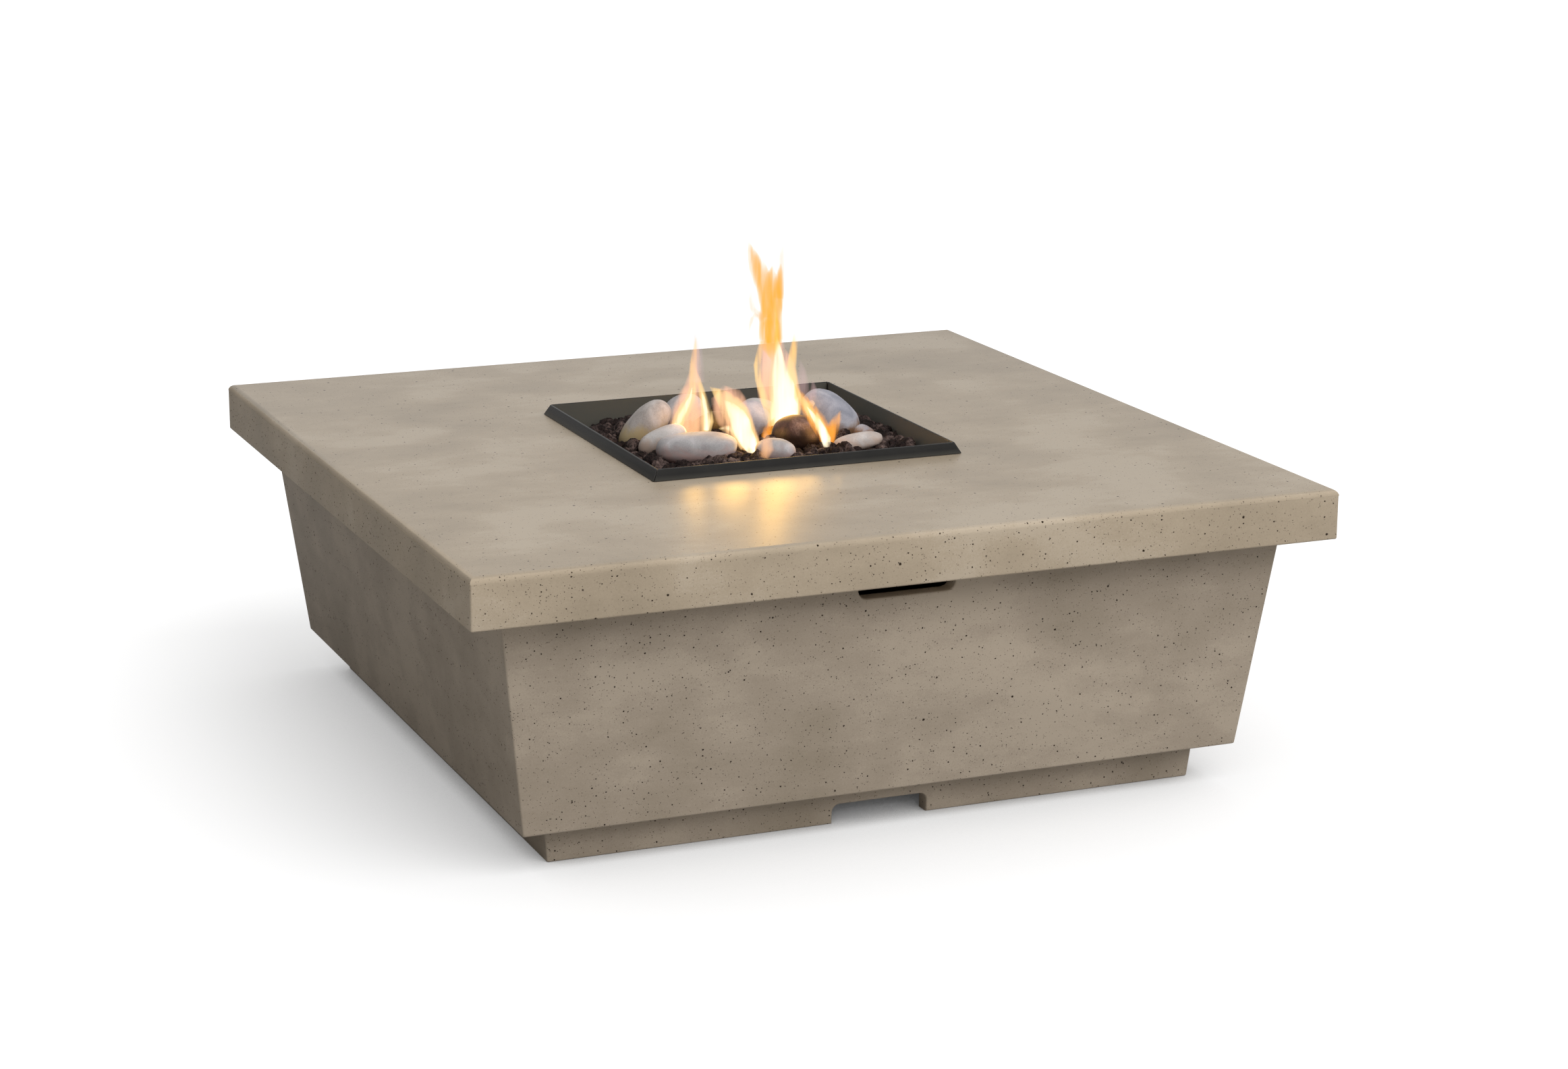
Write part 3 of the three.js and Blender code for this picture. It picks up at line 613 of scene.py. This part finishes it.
def makeLava():
    # Scoria: dark red-brown, rough, full of gas holes, with painted shade darkening the holes.
    material, tree = newMaterial("scoria lava rock")
    coords = addNode(tree, "ShaderNodeTexCoord").outputs["Object"]
    tone = addNode(tree, "ShaderNodeTexNoise", inputs={
        "Vector": coords, "Scale": 1 / (26 * mm), "Detail": 3.0, "Roughness": 0.6})
    rough = addNode(tree, "ShaderNodeTexNoise", inputs={
        "Vector": coords, "Scale": 1 / (4.5 * mm), "Detail": 5.0, "Roughness": 0.75})
    pits = addNode(tree, "ShaderNodeTexVoronoi", {"feature": "SMOOTH_F1"}, {
        "Vector": coords, "Scale": 1 / (3.2 * mm), "Smoothness": 0.3})
    pit = addNode(tree, "ShaderNodeMapRange", inputs={
        "Value": pits.outputs["Distance"], "From Min": 0.12, "From Max": 0.5})
    mixed = addNode(tree, "ShaderNodeMath", {"operation": "MULTIPLY_ADD"}, {
        0: rough.outputs["Fac"], 1: 0.55, 2: tone.outputs["Fac"]})
    colour = setStops(addNode(tree, "ShaderNodeValToRGB", inputs={"Fac": mixed.outputs[0]}),
                      [(0.55, srgb("#120d0c")), (0.78, srgb("#302523")), (0.98, srgb("#74625c"))])
    # painted shade: the colour is darkened in the gas holes
    dark = addNode(tree, "ShaderNodeMix", {"data_type": "RGBA", "blend_type": "MULTIPLY"}, {
        "Factor": 0.75, 6: colour.outputs["Color"], 7: pit.outputs["Result"]})
    lumpy = addNode(tree, "ShaderNodeBump", inputs={
        "Height": rough.outputs["Fac"], "Strength": 0.9, "Distance": 2.2 * mm})
    pitted = addNode(tree, "ShaderNodeBump", inputs={
        "Height": pit.outputs["Result"], "Strength": 0.7, "Distance": 1.0 * mm, "Normal": lumpy.outputs[0]})
    shader = addNode(tree, "ShaderNodeBsdfPrincipled", inputs={
        "Base Color": dark.outputs[2], "Roughness": 0.92, "Normal": pitted.outputs[0],
        "Specular IOR Level": 0.3})
    finishMaterial(tree, shader.outputs[0])
    return material


lavaRock = makeLava()

# Each stone: half length, half depth and half height in mm, lean and yaw in degrees, its finish, and how
# far the worn shape sits from the CAD solid's middle in mm.
stoneTable = {
    "river_stone_01": ((42, 25, 22), 46, -20, "ochre", (0, 0, -2)),
    "river_stone_02": ((32, 25, 29), 30, -23, "grey", (2, -3, -3)),
    "river_stone_03": ((34, 20, 16), 26, -22, "pale", (0, 0, 1)),
    "river_stone_04": ((54, 30, 20), 3, -24, "grey", (-6, 2, -1)),
    "river_stone_05": ((20, 18, 17), 10, -10, "umber", (0, 0, 0)),
    "river_stone_06": ((28, 24, 26), -38, -22, "slate", (-8, -7, -2)),
    "river_stone_07": ((25, 20, 16), 0, -30, "pale", (0, 0, -3)),
    "river_stone_08": ((27, 19, 16), -10, -20, "grey", (-2, 0, -3)),
    "river_stone_09": ((34, 25, 26), -2, -22, "brown", (-3, 1, -6)),
    "river_stone_10": ((44, 32, 34), -36, -23, "slate", (-4, 2, -9)),
    "river_stone_11": ((33, 20, 12), 11, -24, "pale", (-1, 0, -1)),
    "river_stone_12": ((16, 13, 11), -30, -20, "slate", (7, -2, -3)),
}


def stoneTurn(lean, yaw):
    return Matrix.Rotation(math.radians(yaw), 4, "Z") @ Matrix.Rotation(math.radians(-lean), 4, "Y")


def insideStone(point, margin):
    for name, (half, lean, yaw, _, shift) in stoneTable.items():
        local = stoneTurn(lean, yaw).inverted() @ (point - middleOf(name) - Vector(shift) * mm)
        reach = sum((local[i] / (half[i] * mm + margin)) ** 2 for i in range(3))
        if reach < 1:
            return True
    return False


rockSet = {
    "lump": 0.42,                          # of the radius
    "lumpPitch": 1.4,
    "knob": 0.3,
    "knobPitch": 3.1,
    "squash": (0.7, 1.15),
}
rockShape = bmesh.new()
bmesh.ops.create_icosphere(rockShape, subdivisions=2, radius=1)
rockData = bpy.data.meshes.new("oneRock")


def addRock(mesh, place, radius, chance):
    rock = rockShape.copy()
    offset = Vector([chance.uniform(-50, 50) for _ in range(3)])
    turn = Euler([chance.uniform(0, math.tau) for _ in range(3)]).to_matrix()
    squash = Vector([chance.uniform(*rockSet["squash"]) for _ in range(3)])
    for vert in rock.verts:
        way = vert.co.normalized()
        lump = rockSet["lump"] * noise.noise(way * rockSet["lumpPitch"] + offset)
        knob = rockSet["knob"] * noise.noise(way * rockSet["knobPitch"] + offset)
        shaped = Vector([way[i] * squash[i] for i in range(3)]) * (1 + lump + knob)
        vert.co = place + turn @ shaped * radius
    rock.to_mesh(rockData)
    rock.free()
    mesh.from_mesh(rockData)


def makeLavaBed():
    mesh = bmesh.new()
    cells = bedSet["cells"]
    bmesh.ops.create_grid(mesh, x_segments=cells, y_segments=cells, size=bedSet["half"])
    bottom = boxOf("lava_rock_bed")[0].z
    lower = bmesh.ops.extrude_face_region(mesh, geom=list(mesh.faces))["geom"]
    topVerts = {part for part in lower if isinstance(part, bmesh.types.BMVert)}
    for vert in mesh.verts:
        if vert in topVerts:
            at = Vector((vert.co.x, vert.co.y, 0.3)) / bedSet["groundPitch"]
            bumpy = bedSet["groundBump"] * noise.noise(at)
            vert.co.z = bedHeight(vert.co.x, vert.co.y) - bedSet["groundDrop"] + bumpy
        else:
            vert.co.z = bottom
    bmesh.ops.recalc_face_normals(mesh, faces=mesh.faces)
    chance = random.Random(bedSet["seed"])
    count = int(2 * bedSet["half"] / bedSet["pitch"])
    jitter = bedSet["jitter"]
    for layer, (least, most) in enumerate(bedSet["lifts"]):
        for i in range(count + layer):
            for j in range(count + layer):
                x = (i - (count - 1 + layer) / 2 + chance.uniform(-jitter, jitter)) * bedSet["pitch"]
                y = (j - (count - 1 + layer) / 2 + chance.uniform(-jitter, jitter)) * bedSet["pitch"]
                share = chance.random() ** bedSet["mostlySmall"]
                radius = bedSet["small"] + (bedSet["large"] - bedSet["small"]) * share
                reach = bedSet["half"] - radius * 0.95
                x, y = max(-reach, min(reach, x)), max(-reach, min(reach, y))
                lift = chance.uniform(least, most)
                place = Vector((x, y, bedHeight(x, y) + lift))
                if insideStone(place, radius * 0.35):
                    continue
                addRock(mesh, place, radius, chance)
    piece = addPiece("lavaRockBed", mesh, lavaRock, "burner_tray", "lava_rock_bed")
    smoothByAngle(piece, 60)
    return piece


lavaPiece = makeLavaBed()
print("lava rock laid:", len(lavaPiece.data.polygons), "faces")

# river stones


def makePebble(name, dark, middle, light, stain, stainShare, roughness):
    # Water-worn stone: soft bands of tone, a stain that comes and goes, and fine mineral specks.
    material, tree = newMaterial(name)
    coords = addNode(tree, "ShaderNodeTexCoord").outputs["Object"]
    cloud = addNode(tree, "ShaderNodeTexNoise", inputs={
        "Vector": coords, "Scale": 1 / (38 * mm), "Detail": 5.0, "Roughness": 0.6, "Distortion": 0.8})
    speck = addNode(tree, "ShaderNodeTexNoise", inputs={
        "Vector": coords, "Scale": 1 / (1.6 * mm), "Detail": 2.0, "Roughness": 0.7})
    both = addNode(tree, "ShaderNodeMath", {"operation": "MULTIPLY_ADD"}, {
        0: speck.outputs["Fac"], 1: 0.3, 2: cloud.outputs["Fac"]})
    tone = setStops(addNode(tree, "ShaderNodeValToRGB", inputs={"Fac": both.outputs[0]}),
                    [(0.45, srgb(dark)), (0.65, srgb(middle)), (0.85, srgb(light))])
    stainField = addNode(tree, "ShaderNodeTexNoise", inputs={
        "Vector": coords, "Scale": 1 / (55 * mm), "Detail": 6.0, "Roughness": 0.65, "Distortion": 1.2})
    height = addNode(tree, "ShaderNodeSeparateXYZ", inputs={"Vector": coords})
    # the stain is made heavier towards the bottom of each stone
    sunk = addNode(tree, "ShaderNodeMapRange", inputs={
        "Value": height.outputs["Z"], "From Min": bedSet["middle"] - 5 * mm,
        "From Max": bedSet["middle"] + 24 * mm, "To Min": 0.36, "To Max": -0.12})
    stainTowardsBottom = addNode(tree, "ShaderNodeMath", {"operation": "ADD"}, {
        0: stainField.outputs["Fac"], 1: sunk.outputs[0]})
    stainMask = addNode(tree, "ShaderNodeMapRange", {"interpolation_type": "SMOOTHSTEP"}, {
        "Value": stainTowardsBottom.outputs[0], "From Min": 0.94 - stainShare, "From Max": 1.3 - stainShare,
        "To Max": 0.88})
    stained = addNode(tree, "ShaderNodeMix", {"data_type": "RGBA"}, {
        "Factor": stainMask.outputs["Result"], 6: tone.outputs["Color"], 7: srgb(stain)})
    pits = addNode(tree, "ShaderNodeTexVoronoi", inputs={"Vector": coords, "Scale": 1 / (5 * mm)})
    pit = addNode(tree, "ShaderNodeMapRange", inputs={
        "Value": pits.outputs["Distance"], "From Min": 0.0, "From Max": 0.14})
    fine = addNode(tree, "ShaderNodeBump", inputs={
        "Height": both.outputs[0], "Strength": 0.25, "Distance": 0.8 * mm})
    pitted = addNode(tree, "ShaderNodeBump", inputs={
        "Height": pit.outputs["Result"], "Strength": 0.25, "Distance": 0.3 * mm, "Normal": fine.outputs[0]})
    gloss = addNode(tree, "ShaderNodeMapRange", inputs={
        "Value": cloud.outputs["Fac"], "To Min": roughness - 0.1, "To Max": roughness + 0.1})
    shader = addNode(tree, "ShaderNodeBsdfPrincipled", inputs={
        "Base Color": stained.outputs[2], "Roughness": gloss.outputs[0], "Normal": pitted.outputs[0]})
    finishMaterial(tree, shader.outputs[0])
    return material


pebbles = {
    "ochre": makePebble("ochre-stained river stone", "#8d8580", "#b0a8a3", "#c6c0bd", "#b39e74", 0.6, 0.6),
    "grey": makePebble("grey river stone", "#8f8b8b", "#aaa6a6", "#c4bfc0", "#b3948d", 0.45, 0.58),
    "pale": makePebble("pale limestone pebble", "#a39e9b", "#bab5b2", "#d2cdca", "#b9a08f", 0.42, 0.62),
    "umber": makePebble("umber river stone", "#3a2c18", "#5f4a28", "#84693c", "#33250f", 0.42, 0.6),
    "brown": makePebble("mottled brown river stone", "#2c1c16", "#5e4238", "#a07f70", "#160d08", 0.6, 0.5),
    "slate": makePebble("blue-grey river stone", "#82838d", "#9d9ca5", "#b9b7bd", "#7d5526", 0.42, 0.55),
}


stoneSet = {
    "levels": 4,
    "power": 2.3,                          # above 2, fuller than an ellipsoid, as a worn block is
    "size": 0.985,
    "lump": 0.07,
    "lumpPitch": 0.9,
    "dent": 0.02,
    "dentPitch": 2.6,
}


def makeStone(name):
    half, lean, yaw, finish, shift = stoneTable[name]
    mesh = bmesh.new()
    bmesh.ops.create_icosphere(mesh, subdivisions=stoneSet["levels"], radius=1)
    seed = Vector((int(name[-2:]) * 3.7, 1.3, 5.1))
    turn = stoneTurn(lean, yaw).to_3x3()
    middle = middleOf(name) + Vector(shift) * mm
    power = stoneSet["power"]
    for vert in mesh.verts:
        way = vert.co.normalized()
        lump = stoneSet["lump"] * noise.noise(way * stoneSet["lumpPitch"] + seed)
        dent = stoneSet["dent"] * noise.noise(way * stoneSet["dentPitch"] + seed)
        span = sum(abs(way[i]) ** power for i in range(3)) ** (-1 / power)
        reach = Vector([way[i] * half[i] * mm for i in range(3)])
        vert.co = middle + turn @ reach * (1 + lump + dent) * span * stoneSet["size"]
    piece = addPiece("stone" + name[-2:], mesh, pebbles[finish], "burner_tray", name)
    smoothByAngle(piece, 80)


for stoneName in stoneTable:
    makeStone(stoneName)
print("stones placed")

# fire
# The fire isn't a piece of the fire pit: it stands in the picture only and follows the tray.
fireSet = {
    "middle": Vector((0, 0, 400)) * mm,
    "across": Vector((0.922, -0.387, 0)),  # to the right as the camera sees it
    "away": Vector((0.387, 0.922, 0)),
    "climb": 0.2577,                       # how far a point further back rises in the view
    "depth": 0.7,                          # thickness of a tongue for its width
    "thinning": 1.5,                       # how quickly a tongue thins towards its rim
    "sides": 20,
    "mirrorGain": 5.0,
    "mirrorTone": "#ffc76e",
}

# Each tongue: its finish and how far back it stands, then across, up and half width at each station.
tongues = (
    # the tall flame, from its root to the fork near its top
    ("veil", 16, ((48, 6, 16), (47, 26, 24), (42, 46, 29), (38, 66, 28), (36, 86, 26), (31, 104, 20),
                  (30, 118, 17))),
    ("gold", 14, ((30, 4, 4), (27, 24, 6), (21, 44, 6), (14, 66, 5), (12, 86, 5), (16, 104, 5),
                  (18, 118, 3))),
    ("core", 12, ((47, 4, 16), (48, 22, 19), (48, 40, 19), (46, 58, 16), (43, 76, 12), (41, 92, 8),
                  (39, 112, 4), (38, 124, 0.6))),
    ("gold", 10, ((38, 6, 8), (36, 28, 9), (33, 50, 7), (32, 72, 4), (33, 96, 3), (33, 118, 2))),
    ("gold", 18, ((58, 8, 10), (61, 28, 10), (61, 48, 9), (59, 68, 8), (57, 84, 7), (59, 100, 6),
                  (61, 114, 5), (63, 126, 4.5), (63, 136, 1))),
    ("tall", 14, ((31, 94, 1), (30, 108, 13), (30, 122, 17), (30, 150, 16), (31, 166, 15), (31, 182, 13),
                  (31, 196, 10), (31, 208, 7), (32, 219, 0.8))),
    ("tall", 12, ((33, 90, 1), (31, 104, 9), (31, 122, 13), (31, 142, 12), (32, 160, 1))),
    ("tall", 20, ((25, 150, 5), (23, 172, 10), (21, 190, 12), (17, 206, 13), (12, 218, 12), (8, 229, 9),
                  (4, 240, 5), (1, 251, 0.8))),
    ("tall", 8, ((38, 140, 3), (38, 162, 8), (39, 182, 9), (40, 198, 7), (42, 210, 4), (43, 220, 1))),
    ("wisp", 20, ((39, 176, 8), (41, 196, 8), (43, 214, 7), (44, 232, 5), (46, 249, 0.8))),
    ("gold", 4, ((36, 100, 1), (37, 118, 3), (38, 138, 3), (36, 158, 2), (35, 176, 0.8))),
    ("wisp", 12, ((20, 148, 6), (12, 154, 6), (6, 162, 5), (4, 174, 4), (4, 190, 0.8))),
    ("wisp", 14, ((12, 154, 4), (6, 148, 4), (3, 140, 3), (1, 128, 0.8))),
    ("lilac", 26, ((68, 34, 10), (71, 50, 11), (72, 66, 9), (71, 80, 6), (69, 94, 1))),
    ("lilac", 30, ((80, 34, 8), (85, 46, 7), (87, 56, 5), (85, 68, 1))),
    # the left flame: two streaks that meet
    ("gold", -62, ((-96, -14, 5), (-92, 0, 8), (-86, 14, 9), (-79, 26, 9), (-73, 38, 7), (-70, 52, 6),
                   (-70, 68, 6), (-69, 86, 5), (-67, 104, 3), (-66, 118, 0.8))),
    ("core", -66, ((-95, -12, 3), (-91, 2, 4), (-85, 16, 5), (-78, 28, 4), (-73, 40, 2), (-71, 52, 0.6))),
    ("gold", -48, ((-54, -6, 7), (-52, 8, 9), (-53, 22, 8), (-56, 36, 6), (-60, 50, 5), (-64, 64, 4),
                   (-67, 78, 0.8))),
    ("core", -52, ((-53, -4, 4), (-52, 8, 5), (-53, 22, 4), (-56, 36, 3), (-60, 50, 0.6))),
    ("veil", -56, ((-76, -10, 20), (-76, 6, 25), (-76, 22, 23), (-74, 38, 18), (-70, 54, 12), (-67, 72, 9),
                   (-67, 92, 7), (-67, 110, 5), (-67, 126, 1))),
    ("lilac", -50, ((-66, 60, 12), (-65, 80, 10), (-65, 100, 8), (-66, 120, 7), (-66, 142, 1))),
    # the middle flame leans to the left, with a lower branch
    ("veil", -104, ((10, -36, 10), (2, -20, 16), (-8, -4, 20), (-16, 12, 24), (-22, 28, 24), (-27, 42, 20),
                    (-30, 54, 1))),
    ("gold", -106, ((11, -36, 9), (4, -24, 14), (-3, -10, 16), (-8, 4, 17), (-13, 16, 17), (-21, 27, 16),
                    (-29, 36, 12), (-38, 44, 7), (-47, 51, 0.8))),
    ("core", -112, ((9, -34, 7), (3, -22, 11), (-4, -9, 12), (-8, 4, 13), (-13, 15, 11), (-21, 25, 7),
                    (-29, 34, 0.8))),
    ("gold", -100, ((4, -18, 8), (-8, -10, 8), (-19, -5, 8), (-28, -3, 5), (-36, -3, 0.8))),
    ("core", -102, ((3, -16, 6), (-8, -9, 6), (-18, -4, 5), (-26, -2, 3), (-33, -3, 0.8))),
    # the right flame, with a branch that runs back to the tall one
    ("amber", -76, ((104, -28, 7), (106, -16, 9), (109, -5, 10), (113, 4, 8), (117, 12, 6),
                    (121, 22, 0.8))),
    ("core", -84, ((104, -26, 5), (102, -16, 7), (97, -4, 6), (91, 7, 5), (84, 17, 3), (77, 27, 0.6))),
    ("amber", -66, ((103, -18, 8), (98, -4, 11), (91, 9, 12), (82, 21, 11), (74, 32, 9), (67, 42, 8),
                    (61, 56, 0.8))),
    ("gold", -76, ((102, -14, 6), (95, 1, 8), (87, 13, 8), (78, 26, 6), (69, 40, 4), (63, 54, 0.6))),
    ("amber", -24, ((23, -20, 5), (25, -11, 8), (28, -3, 8), (32, 6, 6), (36, 15, 0.8))),
    ("veil", -142, ((22, -42, 7), (26, -31, 10), (26, -20, 8), (24, -6, 0.8))),
)


def makeFlame(name, low, high, turnFrom, turnTo, density, glow):
    # Hot gas: it glows and hides what is behind it where it is thick, and fades to nothing at its rim.
    material, tree = newMaterial(name)
    coords = addNode(tree, "ShaderNodeTexCoord").outputs["Object"]
    height = addNode(tree, "ShaderNodeSeparateXYZ", inputs={"Vector": coords})
    share = addNode(tree, "ShaderNodeMapRange", inputs={
        "Value": height.outputs["Z"], "From Min": turnFrom * mm, "From Max": turnTo * mm})
    tone = setStops(addNode(tree, "ShaderNodeValToRGB", inputs={"Fac": share.outputs[0]}),
                    [(0.0, srgb(low)), (1.0, srgb(high))])
    stretched = addNode(tree, "ShaderNodeMapping", inputs={"Vector": coords, "Scale": (1, 1, 0.12)})
    streak = addNode(tree, "ShaderNodeTexNoise", inputs={
        "Vector": stretched.outputs["Vector"], "Scale": 1 / (8 * mm), "Detail": 2.0, "Distortion": 0.5})
    thick = addNode(tree, "ShaderNodeMapRange", inputs={
        "Value": streak.outputs["Fac"], "From Min": 0.36, "From Max": 0.64,
        "To Min": density * 0.2, "To Max": density * 1.8})
    # a mirror sees the fire brighter than the camera does, which would burn it out
    seen = addNode(tree, "ShaderNodeLightPath")
    level = addNode(tree, "ShaderNodeMapRange", inputs={
        "Value": seen.outputs["Is Camera Ray"], "To Min": glow * fireSet["mirrorGain"], "To Max": glow})
    bright = addNode(tree, "ShaderNodeMath", {"operation": "MULTIPLY"}, {
        0: thick.outputs[0], 1: level.outputs[0]})
    warm = addNode(tree, "ShaderNodeMix", {"data_type": "RGBA"}, {
        "Factor": seen.outputs["Is Camera Ray"], 6: srgb(fireSet["mirrorTone"]), 7: tone.outputs["Color"]})
    absorb = addNode(tree, "ShaderNodeVolumeAbsorption", inputs={
        "Color": grey(0), "Density": thick.outputs[0]})
    emit = addNode(tree, "ShaderNodeEmission", inputs={
        "Color": warm.outputs[2], "Strength": bright.outputs[0]})
    both = addNode(tree, "ShaderNodeAddShader", inputs={0: absorb.outputs[0], 1: emit.outputs[0]})
    finishMaterial(tree, None, both.outputs[0])
    return material


flameFinish = {
    "tall": makeFlame("orange flame top", "#ffb940", "#ffb038", 500, 640, 110, 1.05),
    "gold": makeFlame("yellow gas flame", "#ffd690", "#ffb548", 470, 545, 110, 1.4),
    "core": makeFlame("hottest gas flame", "#fff3d2", "#ffeec4", 480, 520, 170, 1.8),
    "amber": makeFlame("amber gas flame", "#ff9d38", "#ffae48", 395, 440, 95, 1.35),
    "veil": makeFlame("thin orange flame", "#ffbf88", "#f6bfa6", 400, 500, 48, 1.4),
    "wisp": makeFlame("thin flame tip", "#ffcf90", "#f0bf80", 500, 640, 70, 0.95),
    "lilac": makeFlame("thin lilac flame", "#efc2b8", "#d2bccb", 420, 520, 28, 1.05),
}


def makeTongue(number, finish, back, stations):
    mesh = bmesh.new()
    across, away = fireSet["across"], fireSet["away"]
    loops = []
    for i, (right, up, half) in enumerate(stations):
        before, after = stations[max(i - 1, 0)], stations[min(i + 1, len(stations) - 1)]
        along = (across * (after[0] - before[0]) + Vector((0, 0, after[1] - before[1]))).normalized()
        side = away.cross(along)
        made = bmesh.ops.create_circle(mesh, segments=fireSet["sides"], radius=1)["verts"]
        rise = up - fireSet["climb"] * back
        centre = fireSet["middle"] + (across * right + away * back + Vector((0, 0, rise))) * mm
        for vert in made:
            thin = math.copysign(abs(vert.co.y) ** (1 + fireSet["thinning"]), vert.co.y)
            vert.co = centre + (side * vert.co.x + away * thin * fireSet["depth"]) * half * mm
        loops.append([e for e in mesh.edges if e.verts[0] in made and e.verts[1] in made])
    for first, second in zip(loops, loops[1:]):
        bmesh.ops.bridge_loops(mesh, edges=first + second)
    bmesh.ops.contextual_create(mesh, geom=loops[0])
    bmesh.ops.contextual_create(mesh, geom=loops[-1])
    bmesh.ops.recalc_face_normals(mesh, faces=mesh.faces)
    tongue = addPiece("flame%02d" % number, mesh, flameFinish[finish], "burner_tray")
    tongue.visible_shadow = False
    tongue.visible_diffuse = False


for number, (finish, back, stations) in enumerate(tongues, 1):
    makeTongue(number, finish, back, stations)

# Where the fire lights its surroundings: across, back, up and power in watts.
glows = (
    (43, 4, 62, 0.045), (-72, -55, 34, 0.045), (-8, -104, 16, 0.045), (106, -72, -2, 0.01),
)


def makeGlow(number, right, back, up, power):
    data = bpy.data.lights.new("fireGlow%d" % number, "POINT")
    data.energy = power
    data.color = srgb("#ffb066")[:3]
    data.shadow_soft_size = 16 * mm
    glow = bpy.data.objects.new("fireGlow%d" % number, data)
    scene.collection.objects.link(glow)
    rise = up - fireSet["climb"] * back
    glow.location = fireSet["middle"] + (
        fireSet["across"] * right + fireSet["away"] * back + Vector((0, 0, rise))) * mm
    glow.visible_camera = False
    glow.visible_glossy = False
    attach(glow, "burner_tray")


for number, place in enumerate(glows, 1):
    makeGlow(number, *place)
print("fire lit")
